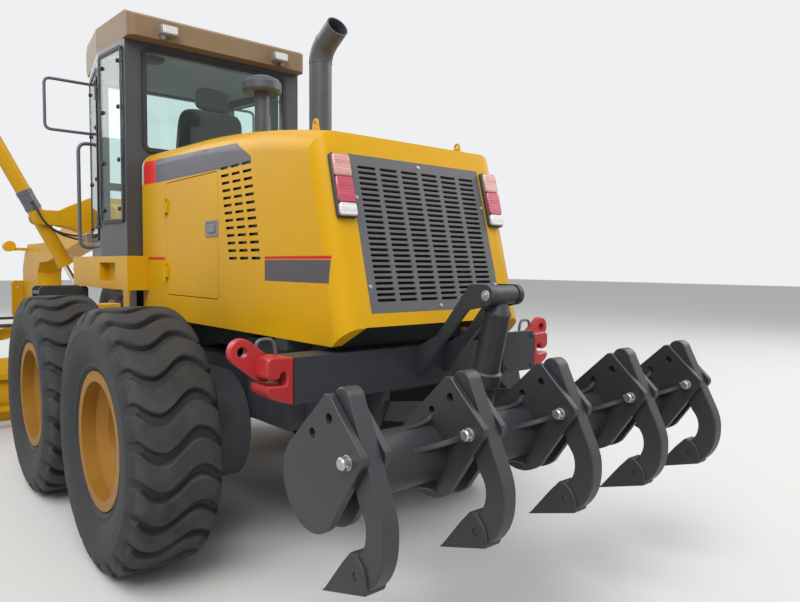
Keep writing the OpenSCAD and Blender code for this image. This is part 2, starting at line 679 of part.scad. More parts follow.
// Middle of the gooseneck's downward bow.
bow_x = swivel_x - 1000;
lamp_x = nose_x - 419;
nose_low = 930;
saddle_z = 2010;
ear_gap = 85;
ear_t = 28;
trunnion_pin = 32;
half_neck = neck_w / 2;
axle_lug = 110;
plate_y = 220;
plate_z = 1030;
plate_dz = 170;
plate_bolt = 14;
module front_frame() color(yellow) place() {
  rod_z([hinge_x, 0], 100, fork_low[1] + 5, fork_high[0] - 5);
  block([hinge_x, -60, fork_low[1] + 40], [hinge_x + 200, 60, fork_high[0] - 40]);
  rod_z([hinge_x, 0], hinge_r, fork_low[0] - 30, fork_high[1] + 30);
  // gooseneck, with the bore of the drawbar's swivel
  difference() {
    union() {
      along_y(-half_neck, half_neck) polygon([[2150, 1235], [2240, 1600], [2380, 1900],
        [2540, neck_top - 60], [2740, neck_top], [3700, neck_top],
        [bow_x, neck_top - 190], [swivel_x - 350, nose_top], [nose_x - 459, nose_top],
        [nose_x - 239, nose_top - 110], [nose_x - 60, 1480], [nose_x - 60, nose_low],
        [swivel_x + 100, nose_low], [swivel_x + 90, 955], [swivel_x - 60, 955], [swivel_x - 60, 1050],
        [swivel_x + 200, 1080], [swivel_x + 280, 1180], [swivel_x + 280, 1430],
        [swivel_x + 160, nose_top - 264], [swivel_x - 350, nose_top - 244],
        [bow_x, neck_top - 475], [3700, neck_top - neck_h], [2880, neck_top - neck_h],
        [2680, neck_top - neck_h - 70], [2460, 1500], [2330, 1330], [2330, 800], [2150, 800]]);
      block([swivel_x - 70, -60, 955], [swivel_x + 91, 60, 1010]);
    }
    rod_z([swivel_x, 0], 35 + run, 954, 1011);
  }
  // nose plate with its bolt holes, and head lamp pods
  difference() {
    along_x(nose_x - 60.5, nose_x) round_rect([-300, 760], [300, 1300], 40);
    for (y = [-plate_y, plate_y], z = [plate_z - plate_dz, plate_z + plate_dz])
      rod_x(y, z, plate_bolt, nose_x - 62, nose_x + 1);
  }
  both() {
    block([lamp_x + 20, half_neck - 1, nose_top - 90], [lamp_x + 120, 300, nose_top - 50]);
    rod_x(370, nose_top - 30, 75, lamp_x, lamp_x + 160);
  }
  // axle lugs
  for (x = [wheelbase - axle_lug - 45, wheelbase + axle_lug]) difference() {
    along_x(x, x + 45) polygon([[-145, nose_low + 1], [145, nose_low + 1], [90, pivot_z - 60], [-90, pivot_z - 60]]);
    rod_x(0, pivot_z, 45 + run, x - 1, x + 46);
  }
  // drawbar bracket below the nose
  block([swivel_x + 90, -100, 700], [swivel_x + 130, 100, nose_low + 1]);
  difference() {
    block([swivel_x - 70, -60, 700], [swivel_x + 91, 60, 740]);
    rod_z([swivel_x, 0], 35 + run, 699, 741);
  }
}

// Saddle clamped over the gooseneck, with a fork at each end for the lift cylinders.
saddle_end = saddle_y - 170;
module lift_saddle() color(yellow) place() {
  along_x(saddle_x - 120, saddle_x + 120) difference() {
    polygon([[260, neck_top + 70], [saddle_end - 60, saddle_z + 110], [saddle_end, saddle_z + 74],
      [saddle_end, saddle_z - 74], [saddle_end - 90, saddle_z - 90], [half_neck + 80, neck_top - neck_h + 10],
      [-half_neck - 80, neck_top - neck_h + 10], [90 - saddle_end, saddle_z - 90],
      [-saddle_end, saddle_z - 74], [-saddle_end, saddle_z + 74], [60 - saddle_end, saddle_z + 110],
      [-260, neck_top + 70]]);
    translate([-half_neck, 0]) square([neck_w, neck_top]);
  }
  both() for (m = [-1, 1]) difference() {
    along_x(saddle_x + (m < 0 ? -ear_gap - ear_t : ear_gap), saddle_x + (m < 0 ? -ear_gap : ear_gap + ear_t))
      strip([saddle_end - 20, saddle_z], [saddle_y, saddle_z], 70);
    rod_x(saddle_y, saddle_z, trunnion_pin + run, saddle_x - 200, saddle_x + 200);
  }
}

// Heights of the drawbar's lower and upper faces.
draw_low = 840;
draw_high = 930;
// Lift cylinders: barrel on its trunnions, leaning outward, rod down to the drawbar's stud.
barrel_r = 68;
lift_rod_r = 36;
eye_r = 50;
eye_z = draw_high + 105;
lift_lean = atan2(saddle_y - stud_y, saddle_z - eye_z);
lift_len = norm([saddle_y - stud_y, saddle_z - eye_z]);
barrel_up = 900;
barrel_down = 520;
module on_lift() translate([saddle_x, saddle_y, saddle_z]) rotate([-lift_lean, 0, 0]) children();
module lift_barrel(s) color(yellow) place() side(s) {
  on_lift() difference() {
    union() {
      translate([0, 0, -barrel_down]) cylinder(h = barrel_down + barrel_up, r = barrel_r);
      translate([0, 0, -barrel_down]) cylinder(h = 60, r = barrel_r + 8);
      rod_x(0, 0, trunnion_pin, -ear_gap - ear_t, ear_gap + ear_t);
    }
    translate([0, 0, -barrel_down - 1]) cylinder(h = barrel_down + barrel_up - 30, r = lift_rod_r + run);
  }
}
module lift_rod(s) color("silver") place() side(s) on_lift() {
  translate([0, 0, 20 - lift_len]) cylinder(h = lift_len + 20, r = lift_rod_r);
  rod_x(0, -lift_len, eye_r, -45, 45);
}
module lift_barrel_left() lift_barrel(1);
module lift_barrel_right() lift_barrel(-1);
module lift_rod_left() lift_rod(1);
module lift_rod_right() lift_rod(-1);

// Front axle beam, rocking on a pin along x; the wheels lean on pins at its ends.
lean_y = 700;
lean_z = 560;
king_y = 850;
module front_axle() color(yellow) place() difference() {
  union() {
    rod_x(0, pivot_z, 95, wheelbase - axle_lug + 1, wheelbase + 66);
    rod_x(0, pivot_z, 65, wheelbase + 60, wheelbase + axle_lug - 1);
    rod_x(0, pivot_z, 45, wheelbase - axle_lug - 48, wheelbase + axle_lug + 75);
    along_x(wheelbase - 90, wheelbase + 90) polygon([[-590, 500], [-590, 655], [-300, 760], [300, 760],
      [590, 655], [590, 500], [300, 560], [-300, 560]]);
    both() for (x = [-86, 60]) along_x(wheelbase + x, wheelbase + x + 26) {
      translate([lean_y, lean_z]) circle(60);
      polygon([[560, 520], [lean_y, lean_z - 57], [lean_y, lean_z + 57], [560, 634]]);
    }
  }
  both() rod_x(lean_y, lean_z, 30 + run, wheelbase - 100, wheelbase + 100);
}
module lean(s) color(yellow) place() side(s) {
  along_x(wheelbase - 59, wheelbase + 59) strip([lean_y, lean_z], [lean_y, lean_z + 40], 52);
  along_x(wheelbase - 35, wheelbase + 35) strip([lean_y + 2, lean_z + 20], [lean_y + 12, axle_z + 128], 47);
  rod_x(lean_y, lean_z, 30, wheelbase - 92, wheelbase + 92);
  rod_x(lean_y, axle_z + 120, 22, wheelbase + 50, bar_x - run);
  // kingpin fork
  for (z = [axle_z - 170, axle_z + 140]) difference() {
    along_z(z, z + 30) strip([wheelbase, lean_y + 30], [wheelbase, king_y], 55);
    rod_z([wheelbase, king_y], 28 + run, z - 1, z + 31);
  }
}
module lean_left() lean(1);
module lean_right() lean(-1);
// Bar that ties the tops of the two leaning pieces together, ahead of the axle.
bar_x = wheelbase + 72;
module lean_bar() color(dark) place() along_x(bar_x, bar_x + 26) {
  for (y = [-lean_y, lean_y]) translate([y, axle_z + 120]) circle(34);
  translate([-lean_y, axle_z + 102]) square([2 * lean_y, 36]);
}
arm_l = 150;
arm_r = 30;
arm_z = axle_z + 38;
module knuckle(s) color(dark) place() side(s) {
  rod_z([wheelbase, king_y], 60, axle_z - 139, axle_z + 139);
  rod_z([wheelbase, king_y], 28, axle_z - 175, axle_z + 175);
  rod_y(wheelbase, axle_z, 75, king_y, half_track - front_hub - run);
  rod_y(wheelbase, axle_z, spindle_d / 2, king_y, half_track - 80);
  along_z(arm_z - 20, arm_z + 20) strip([wheelbase - arm_l, king_y], [wheelbase, king_y], arm_r);
}
module knuckle_left() knuckle(1);
module knuckle_right() knuckle(-1);
module tie_rod() color(dark) place() {
  rod_y(wheelbase - arm_l - arm_r - run - 25, arm_z, 25, -king_y - 30, king_y + 30);
}

// Drawbar: swivel on the nose, then the frame that carries the circle.
circle_low = 740;
module drawbar_swivel() color(dark) place() difference() {
  union() {
    block([swivel_x - 60, -60, 745], [swivel_x + 60, 60, 950]);
    rod_z([swivel_x, 0], 35, 700, 1010);
  }
  rod_y(swivel_x, swivel_z, 30 + run, -61, 61);
}
circle_r = circle_d / 2;
module drawbar() color(yellow) place() {
  both() {
    along_z(draw_low, draw_high) strip([swivel_x - 220, 105], [3500, 480], 60);
    along_y(65, 105) strip([swivel_x - 220, 885], [swivel_x, swivel_z], 42);
    rod_y(swivel_x, swivel_z, 30, 3, 100);
    // rear plate, lift studs and the shoes that hold the circle
    along_z(draw_low, draw_high) strip([2560, 480], [3500, 480], 60);
    rod_z([saddle_x, stud_y], 40, draw_high - 20, draw_high + 12);
    for (a = [45, 135]) rotate_about([circle_x, 0], a) {
      along_z(circle_low - 32, draw_high - 10) translate([circle_x + circle_r + 5, -60]) square([45, 120]);
      along_z(circle_low - 32, circle_low - 5) translate([circle_x + circle_r - 35, -60]) square([80, 120]);
      along_z(draw_low, draw_high - 10) translate([circle_x + 560, -60]) square([circle_r - 520, 120]);
    }
  }
  for (x = [2560, 3740]) block([x - 60, -480, draw_low], [x + 60, 480, draw_high]);
  block([circle_x - 220, -480, draw_low], [circle_x + 160, 480, draw_high]);
  rod_z([circle_x + circle_r - circle_wall - 380, 0], 150, draw_low, draw_high + 190);
}
module rotate_about(c, a) translate([c[0], c[1], 0]) rotate([0, 0, a]) translate([-c[0], -c[1], 0]) children();

// Circle: ring under the drawbar with two arms down to the blade's pivots.
arm_in = 400;
arm_t = 40;
tilt_x = 2690;
tilt_z = 150;
tilt_pin = 28;
circle_wall = 173;
teeth = 64;
tooth_h = 24;
module circle_ring() along_z(circle_low, draw_low - run) translate([circle_x, 0]) {
  difference() {
    circle(circle_r);
    circle(circle_r - circle_wall);
  }
  // teeth for the drive, inside the ring
  for (i = [0:teeth - 1]) rotate(i * 360 / teeth) translate([circle_r - circle_wall, 0])
    polygon([[3, -17], [-tooth_h, -8], [-tooth_h, 8], [3, 17]]);
}
module circle_node() color(dark) place() circle_ring();
module circle_arms() color(dark) place() both() difference() {
  along_y(arm_in, arm_in + arm_t) union() {
    strip([2590, 690], [tilt_x, tilt_z], 44);
    polygon([[2545, circle_low], [2745, circle_low], [2660, 590], [2600, 560]]);
  }
  rod_y(tilt_x, tilt_z, tilt_pin + run, arm_in - 1, arm_in + arm_t + 1);
}

// Blade: moldboard with its cutting edge, sliding on two rails in the tilting carrier.
blade_cx = 3240;
blade_mid = blade_z + blade_h / 2;
rail_zs = [blade_mid - 150, blade_mid + 150];
head_x = 2775;
module blade_carrier() color(dark) place() both() {
  difference() {
    along_y(arm_in - 70, arm_in - 5) union() {
      round_rect([2712, 160], [head_x + 37, 545], 20);
      strip([tilt_x, tilt_z], [tilt_x + 40, tilt_z + 60], 44);
    }
    for (z = rail_zs) {
      block([head_x - run, 0, z - 25 - run], [head_x + 25 + run, 500, z + 25 + run]);
      block([head_x + 25, 0, z - 10 - run], [head_x + 60, 500, z + 10 + run]);
    }
  }
  rod_y(tilt_x, tilt_z, tilt_pin, arm_in - 10, arm_in + arm_t);
}
module moldboard() color(yellow) place() {
  half = blade_l / 2;
  along_y(-half, half) intersection() {
    difference() {
      translate([blade_cx, blade_mid]) circle(blade_r + blade_t, $fn = 96);
      translate([blade_cx, blade_mid]) circle(blade_r, $fn = 96);
    }
    translate([blade_cx - blade_r - 60, blade_z + 55]) square([blade_r, blade_h - 55]);
  }
  along_y(-half, half) polygon([[2866, 195], [2922, 100], [2975, blade_z], [3000, blade_z],
    [2948, 104], [2888, 205]]);
  for (z = rail_zs) {
    along_y(-1400, 1400) translate([head_x, z - 25]) square([25, 50]);
    along_y(-1400, 1400) translate([head_x + 24, z - 10]) square([62, 20]);
  }
}

// Ripper: two pairs of links carry the tube with its five shanks.
link_l = 638;
link_rise = 9;
function link_end(z) = [link_x - link_l * cos(link_rise), z + link_l * sin(link_rise)];
rod_eye = [-2150, 671];
cross_at = [rod_eye[0] + 170, rod_eye[1] - 27];
module link_pair(z, cross) color(dark) place() {
  b = link_end(z);
  both() difference() {
    along_y(link_y - link_t / 2, link_y + link_t / 2) strip([link_x, z], b, 45);
    rod_y(b[0], b[1], link_pin + run, link_y - 60, link_y + 60);
  }
  both() rod_y(link_x, z, link_pin, link_y, link_y + 48);
  if (cross) {
    rod_y(cross_at[0], cross_at[1], 34, -link_y + 10, link_y - 10);
    both() rod_y(rod_eye[0], rod_eye[1], 40, 64, link_y - 10);
    both() along_y(40, 65) strip(rod_eye, cross_at, 42);
  } else {
    rod_y(link_x - 320, z + 51, 30, -link_y + 10, link_y - 10);
  }
}
module ripper_link_lower() link_pair(link_low_z, true);
module ripper_link_upper() link_pair(link_low_z + link_gap, false);

// Belt round two circles of different size.
module belt(a, ra, b, rb) {
  f = atan2(b[1] - a[1], b[0] - a[0]);
  t = acos((ra - rb) / norm(b - a));
  translate(a) circle(ra);
  translate(b) circle(rb);
  polygon([a + ra * [cos(f + t), sin(f + t)], b + rb * [cos(f + t), sin(f + t)],
    b + rb * [cos(f - t), sin(f - t)], a + ra * [cos(f - t), sin(f - t)]]);
}
// Holder plate beside a shank: teardrop round the tube, with its point up.
apex = [-2588, 1146];
corner = [-2733, 990];
holder_r = 165;
plate_holes = [[-2590, 1104], [-2496, 1036]];
stop_pin = [-2628, 962];
module holder_plate() difference() {
  union() {
    belt([tube_x, tube_z], holder_r, apex, 26);
    belt([tube_x, tube_z], holder_r, corner, 36);
    belt(apex, 26, corner, 36);
    polygon([[tube_x, tube_z], apex, corner]);
  }
  for (p = plate_holes) translate(p) circle(15);
}
plate_out = shank_t / 2 + run + holder_t;
// Outer faces of the outermost holder plates, from the machine's middle.
tube_half = 2 * shank_pitch + shank_t / 2 + run + holder_t - 6;
module ripper_frame() color(dark) place() {
  difference() {
    union() {
      rod_y(tube_x, tube_z, tube_d / 2, -tube_half, tube_half);
      for (i = [-2:2], s = [-1, 1]) {
        y = i * shank_pitch + s * (shank_t / 2 + run + holder_t / 2);
        along_y(y - holder_t / 2, y + holder_t / 2) holder_plate($fn = 36);
      }
      // ears for the links
      for (s = [-1, 1]) side(s) along_y(link_y + link_t / 2 + 5, link_y + link_t / 2 + 35) {
        for (z = [link_low_z, link_low_z + link_gap]) strip(link_end(z), [tube_x, tube_z], 44);
      }
    }
    for (i = [-2:2]) block([-2900, i * shank_pitch - shank_t / 2 - run, 500],
      [tube_x - tube_d / 2 + 25, i * shank_pitch + shank_t / 2 + run, 1250]);
  }
  for (z = [link_low_z, link_low_z + link_gap])
    both() rod_y(link_end(z)[0], link_end(z)[1], link_pin, link_y - 15, link_y + 22);
  // stop pin ahead of each shank
  for (i = [-2:2]) rod_y(stop_pin[0], stop_pin[1], 15, i * shank_pitch - plate_out - 9,
    i * shank_pitch + plate_out + 9, $fn = 32);
}
// Shank: straight above, bent forward below between two arcs, with a pinned tooth on its point.
shank_eye = [-2630, 1150];
bend_out = [-2590, 770];
bend_out_r = 248;
bend_in = [-2480, 790];
bend_in_r = 230;
tip = [-2513, 517];
tooth_pin = [-2622, 572];
module shank_shape() difference() {
  union() {
    translate(shank_eye) circle(46);
    polygon([[-2674, 1160], [-2820, 862], [-2820, 790], [-2700, 790], [-2702, 850], [-2586, 1140]]);
    intersection() {
      translate(bend_out) circle(bend_out_r);
      translate([-2900, 500]) square([340, 365]);
    }
  }
  translate(bend_in) circle(bend_in_r);
  translate(shank_eye) circle(17);
}
module shank_tooth() difference() {
  polygon([tip, [-2556, 588], [-2618, 628], [-2684, 628], [-2668, 560], [-2618, 512]]);
  translate(bend_in) circle(bend_in_r - 14);
  translate(tooth_pin) circle(11);
}
module ripper_shanks() color(dark) place() for (i = [-2:2]) {
  y = i * shank_pitch;
  along_y(y - shank_t / 2, y + shank_t / 2) shank_shape();
  along_y(y - shank_t / 2 - 9, y + shank_t / 2 + 9) shank_tooth();
}

// Ripper cylinder: barrel hung from the mast, rod down to the lower links.
cyl_turn = atan2(rod_eye[0] - mast_x, mast_z - rod_eye[1]);
cyl_len = norm([rod_eye[0] - mast_x, mast_z - rod_eye[1]]);
module on_cylinder() translate([mast_x, 0, mast_z]) rotate([0, 180 - cyl_turn, 0]) children();
module ripper_barrel() color(dark) place() {
  on_cylinder() difference() {
    union() {
      cylinder(h = 650, r = 60);
      translate([0, 0, 360]) cylinder(h = 60, r = 72);
    }
    translate([0, 0, 70]) cylinder(h = 600, r = 32 + run);
  }
  rod_y(mast_x, mast_z, 42, -mast_y + 4, mast_y - 4);
  rod_y(mast_x, mast_z, mast_pin, -mast_y - mast_t, mast_y + mast_t);
}
module ripper_rod() color("silver") place() {
  on_cylinder() translate([0, 0, 90]) cylinder(h = cyl_len - 110, r = 32);
  rod_y(rod_eye[0], rod_eye[1], 36, -30, 30);
}

rear_frame();
beam_ends();
engine();
hood();
grille();
lamps();
stacks();
cab();
cab_roof();
cab_glass();
seat();
console();
rails_and_steps();
platform();
rear_axle();
door_left();
door_right();
door_glass_left();
door_glass_right();
hood_door_left();
hood_door_right();
tandem_left();
tandem_right();
tyre_rear_left();
tyre_mid_left();
tyre_front_left();
tyre_rear_right();
tyre_mid_right();
tyre_front_right();
rim_rear_left();
rim_mid_left();
rim_front_left();
rim_rear_right();
rim_mid_right();
rim_front_right();
front_frame();
lift_saddle();
front_axle();
lean_left();
lean_right();
lean_bar();
knuckle_left();
knuckle_right();
tie_rod();
drawbar_swivel();
drawbar();
circle_node();  // circle
circle_arms();
blade_carrier();
moldboard();
lift_barrel_left();
lift_barrel_right();
lift_rod_left();
lift_rod_right();
ripper_link_lower();
ripper_link_upper();
ripper_frame();
ripper_shanks();
ripper_barrel();
ripper_rod();
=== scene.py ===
"""Motor grader seen from behind and to the left: rear ripper, engine hood, cab, tandem wheels."""
import math
import bmesh
import bpy
import numpy as np
from mathutils import Matrix, Vector
from mathutils.geometry import delaunay_2d_cdt


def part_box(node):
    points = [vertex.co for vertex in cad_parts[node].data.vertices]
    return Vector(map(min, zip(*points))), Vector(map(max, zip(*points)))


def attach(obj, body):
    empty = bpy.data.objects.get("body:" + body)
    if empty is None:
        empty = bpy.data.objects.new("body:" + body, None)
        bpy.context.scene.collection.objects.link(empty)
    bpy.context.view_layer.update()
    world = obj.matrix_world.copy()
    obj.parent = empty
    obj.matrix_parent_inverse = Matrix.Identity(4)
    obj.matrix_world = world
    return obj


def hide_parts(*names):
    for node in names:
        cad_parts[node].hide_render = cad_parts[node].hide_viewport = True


# The whole machine, as it was packed. Its origin lies on the ground under the middle of
# its length and width; x runs forward, y to the left and z up, all in metres.
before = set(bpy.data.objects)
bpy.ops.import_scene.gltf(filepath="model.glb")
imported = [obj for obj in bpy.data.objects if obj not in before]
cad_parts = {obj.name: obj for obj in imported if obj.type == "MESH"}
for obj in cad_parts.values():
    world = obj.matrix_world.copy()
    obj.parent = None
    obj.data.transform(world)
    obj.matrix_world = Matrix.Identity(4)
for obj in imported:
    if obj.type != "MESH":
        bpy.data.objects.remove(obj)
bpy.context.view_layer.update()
scene = bpy.context.scene

# Camera. It stands behind the machine and to its left, a little above the rear beam,
# and looks forward past the ripper; its place was solved from the photograph.
camera_place = Vector((-6.3489, 2.2147, 1.5673))
camera_yaw = math.radians(-40.23)
camera_pitch = math.radians(-3.10)
camera_roll = math.radians(0.40)
focal_pixels = 658.3
image_width = 800

forward = Vector((math.cos(camera_yaw) * math.cos(camera_pitch),
                  math.sin(camera_yaw) * math.cos(camera_pitch), math.sin(camera_pitch)))
level_right = Vector((math.sin(camera_yaw), -math.cos(camera_yaw), 0))
level_up = level_right.cross(forward)
right = math.cos(camera_roll) * level_right + math.sin(camera_roll) * level_up
up = -math.sin(camera_roll) * level_right + math.cos(camera_roll) * level_up
camera_data = bpy.data.cameras.new("camera")
camera_data.sensor_fit = "HORIZONTAL"
camera_data.sensor_width = 36
camera_data.lens = 36 * focal_pixels / image_width
camera_data.clip_end = 200
camera = bpy.data.objects.new("camera", camera_data)
camera.matrix_world = Matrix.Translation(camera_place) @ Matrix(
    (right, up, -forward)).transposed().to_4x4()
scene.collection.objects.link(camera)
scene.camera = camera

# Daylight under a bright overcast sky: an even white sky, a very wide soft lamp overhead
# behind the camera, and two weaker ones from the other side and from the front.
def feed(tree, socket, value):
    """Links another socket to a socket, or puts a value on it."""
    if isinstance(value, bpy.types.NodeSocket):
        tree.links.new(value, socket)
    else:
        socket.default_value = value


def add_node(tree, kind, operation=None, **values):
    """A shader node with its operation, or a group's node with its node tree, and what feeds
    its sockets; in their names _ stands for a space."""
    node = tree.nodes.new("ShaderNode" + kind)
    if operation:
        setattr(node, "node_tree" if kind == "Group" else "operation", operation)
    for name, value in values.items():
        feed(tree, node.inputs[name.replace("_", " ")], value)
    return node


def calc(tree, operation, *terms):
    """What a Math node makes of numbers and sockets."""
    node = add_node(tree, "Math", operation)
    for socket, term in zip(node.inputs, terms):
        feed(tree, socket, term)
    return node.outputs[0]


scene.view_settings.view_transform = "Standard"
world = bpy.data.worlds.new("overcast_sky")
scene.world = world
world.use_nodes = True
sky = world.node_tree
sky.nodes.clear()
sky_light = add_node(sky, "Background", Color=(0.93, 0.96, 1.0, 1), Strength=0.62)
sky_seen = add_node(sky, "Background", Color=(0.86, 0.87, 0.89, 1))
sky_path = add_node(sky, "LightPath").outputs
seen = calc(sky, "MAXIMUM", sky_path["Is Camera Ray"], sky_path["Is Glossy Ray"])
seen = calc(sky, "MAXIMUM", seen, sky_path["Is Transmission Ray"])
sky_mix = add_node(sky, "MixShader")
for socket, source in zip(sky_mix.inputs, (seen, sky_light.outputs[0], sky_seen.outputs[0])):
    sky.links.new(source, socket)
add_node(sky, "OutputWorld", Surface=sky_mix.outputs[0])


def soft_lamp(name, place, target, size, watts):
    """A square area lamp of the given size, turned to face the target point."""
    data = bpy.data.lights.new(name, "AREA")
    data.size = size
    data.energy = watts
    lamp = bpy.data.objects.new(name, data)
    away = Vector(place) - Vector(target)
    lamp.matrix_world = Matrix.Translation(place) @ away.to_track_quat("Z", "Y").to_matrix().to_4x4()
    scene.collection.objects.link(lamp)


soft_lamp("high_lamp", (-9, 7, 12), (-2.5, 0, 1), 9, 1750)
soft_lamp("far_lamp", (-6, -11, 9), (-2.5, 0, 1), 9, 800)
soft_lamp("front_lamp", (12, 4, 9), (1, 0, 1), 9, 700)


# Floor: plain pale concrete, a stage piece.
def node_tree(name):
    """A new material with an empty node tree; returns the material and its tree."""
    material = bpy.data.materials.new(name)
    material.use_nodes = True
    material.node_tree.nodes.clear()
    return material, material.node_tree


def put_out(tree, shader):
    """Links a shader to a new material output."""
    add_node(tree, "OutputMaterial", Surface=shader.outputs[0])


floor_mesh = bpy.data.meshes.new("floor")
floor_mesh.from_pydata([(-60, -60, 0), (60, -60, 0), (60, 60, 0), (-60, 60, 0)], [], [(0, 1, 2, 3)])
floor = bpy.data.objects.new("floor", floor_mesh)
scene.collection.objects.link(floor)
floor_material, tree = node_tree("pale_floor")
put_out(tree, add_node(tree, "BsdfPrincipled", Base_Color=(0.62, 0.61, 0.59, 1), Roughness=0.9))
floor_mesh.materials.append(floor_material)

# Painted frame: welded plate, sprayed satin black and dusty towards the ground. The rails,
# rear beam and axle housings carry everything else.
def new_group(name, inputs, outputs):
    """A new shader group with named sockets, one called Colour being a colour and the rest
    numbers; returns it with the sockets that its nodes start from and end in."""
    group = bpy.data.node_groups.new(name, "ShaderNodeTree")
    for way, labels in (("INPUT", inputs), ("OUTPUT", outputs)):
        for label in labels:
            kind = "NodeSocketColor" if label == "Colour" else "NodeSocketFloat"
            group.interface.new_socket(name=label, in_out=way, socket_type=kind)
    return group, group.nodes.new("NodeGroupInput").outputs, group.nodes.new("NodeGroupOutput").inputs


def spread(tree, value, low, high, to_low, to_high):
    """A value taken from between low and high to between to_low and to_high, and clamped."""
    return add_node(tree, "MapRange", Value=value, From_Min=low, From_Max=high, To_Min=to_low,
                    To_Max=to_high).outputs[0]


def mixed(tree, factor, under, over):
    """The colour under, covered by the colour over as far as the factor says."""
    node = add_node(tree, "Mix")
    node.data_type = "RGBA"
    for name, term in (("Factor", factor), ("A", under), ("B", over)):
        feed(tree, node.inputs[name], term)
    return node.outputs["Result"]


def worn_coat_group():
    """Shader group for a sprayed coat: slow colour drift, road dust that thickens towards
    the ground (object z below the height 'Dust top'), and a fine spray texture height."""
    group, source, result = new_group("worn_coat", ("Colour", "Dust", "Dust top", "Drift", "Gloss"),
                                      ("Colour", "Roughness", "Height"))
    place = add_node(group, "TexCoord").outputs["Object"]
    slow = add_node(group, "TexNoise", Vector=place, Scale=1.7, Detail=5)
    patch = add_node(group, "TexNoise", Vector=place, Scale=9, Detail=8, Roughness=0.65)
    grain = add_node(group, "TexNoise", Vector=place, Scale=420, Detail=2)
    axes = add_node(group, "SeparateXYZ", Vector=place)
    drift = spread(group, slow.outputs["Fac"], 0.3, 0.7, calc(group, "SUBTRACT", 1, source["Drift"]),
                   calc(group, "ADD", 1, source["Drift"]))
    tint = add_node(group, "VectorMath", "SCALE", Vector=source["Colour"], Scale=drift)
    fall = spread(group, axes.outputs["Z"], 0, source["Dust top"], 1, 0.15)
    spots = spread(group, patch.outputs["Fac"], 0.35, 0.75, 0, 1)
    dust = calc(group, "MULTIPLY", calc(group, "MULTIPLY", fall, spots), source["Dust"])
    dusty = mixed(group, dust, tint.outputs[0], (0.42, 0.39, 0.35, 1))
    rough = calc(group, "MULTIPLY_ADD", patch.outputs["Fac"], 0.18, source["Gloss"])
    for name, socket in (("Colour", dusty), ("Roughness", rough), ("Height", grain.outputs["Fac"])):
        group.links.new(socket, result[name])
    return group


worn_coat = worn_coat_group()


def coated(name, colour, gloss=0.38, dust=0.2, dust_top=1.4, drift=0.08, metallic=0.0,
           coat=0.0, grain=0.0006, sheen=0.5):
    """A material whose colour, roughness and bump come from the worn coat group; sheen is
    its specular level."""
    material, tree = node_tree(name)
    colour, rough, height = add_node(tree, "Group", worn_coat, Colour=(*colour, 1), Dust=dust,
                                     Dust_top=dust_top, Drift=drift, Gloss=gloss).outputs
    bump = add_node(tree, "Bump", Distance=grain, Strength=0.5, Height=height)
    put_out(tree, add_node(tree, "BsdfPrincipled", Base_Color=colour, Roughness=rough,
                           Normal=bump.outputs[0], Metallic=metallic, Coat_Weight=coat,
                           Coat_Roughness=0.12, Specular_IOR_Level=sheen))
    return material


def finish_nodes(material, *names):
    """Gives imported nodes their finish, in every material slot they have."""
    for name in names:
        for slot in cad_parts[name].material_slots:
            slot.material = material


frame_black = coated("frame_black", (0.026, 0.029, 0.034), gloss=0.42, dust=0.10, dust_top=1.2, sheen=0.4)
finish_nodes(frame_black, "rear_frame", "rear_axle", "tandem_left", "tandem_right")
tow_red = coated("tow_red", (0.40, 0.020, 0.022), gloss=0.34, dust=0.05, coat=0.1, sheen=0.35)

# Tyres: black rubber with lugs that wave across the tread and run down the shoulders,
# moulded in one piece with the sidewall. Each is built on its own rim and replaces the
# packed tyre, which has the same lugs with fewer faces.
def add_piece(name, parts, material, body, replaces=(), angle=32, second=None):
    """One mesh piece from (points, faces) parts given where they stand, in metres. second
    is another material and a mask of the faces that take it."""
    points, faces, start = [], [], 0
    for part_points, part_faces in parts:
        points.append(np.asarray(part_points, float).reshape(-1, 3))
        faces += [tuple(int(i) + start for i in face) for face in part_faces]
        start += len(points[-1])
    mesh = bpy.data.meshes.new(name)
    mesh.from_pydata(np.concatenate(points).tolist(), [], faces)
    mesh.materials.append(material)
    if second is not None:
        mesh.materials.append(second[0])
        mesh.polygons.foreach_set("material_index", second[1].astype(np.int32))
    shape = bmesh.new()
    shape.from_mesh(mesh)
    bmesh.ops.recalc_face_normals(shape, faces=shape.faces)
    shape.to_mesh(mesh)
    shape.free()
    mesh.shade_smooth()
    mesh.set_sharp_from_angle(angle=math.radians(angle))
    piece = bpy.data.objects.new(name, mesh)
    scene.collection.objects.link(piece)
    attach(piece, body)
    if replaces:
        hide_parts(*replaces)
    return piece


def grid_part(grid, wrap_rows=False, wrap_columns=False, caps=False):
    """Points and faces of a grid of points whose rows or columns may close on themselves."""
    rows, columns = grid.shape[:2]
    i, j = np.meshgrid(np.arange(rows if wrap_rows else rows - 1),
                       np.arange(columns if wrap_columns else columns - 1), indexing="ij")
    down, across = (i + 1) % rows, (j + 1) % columns
    faces = np.stack([i * columns + j, i * columns + across, down * columns + across,
                      down * columns + j], -1).reshape(-1, 4).tolist()
    if caps:
        faces += [list(range(columns))[::-1], [(rows - 1) * columns + k for k in range(columns)]]
    return grid.reshape(-1, 3), faces


lug_count = 24
lug_depth = 0.030
lug_wave = 0.050
lug_phases = np.array([-0.335, -0.300, 0.0, 0.300, 0.335, 0.395, 0.5, 0.605])
lug_drops = np.array([0.16, 0.0, 0.0, 0.0, 0.16, 1.0, 1.0, 1.0])
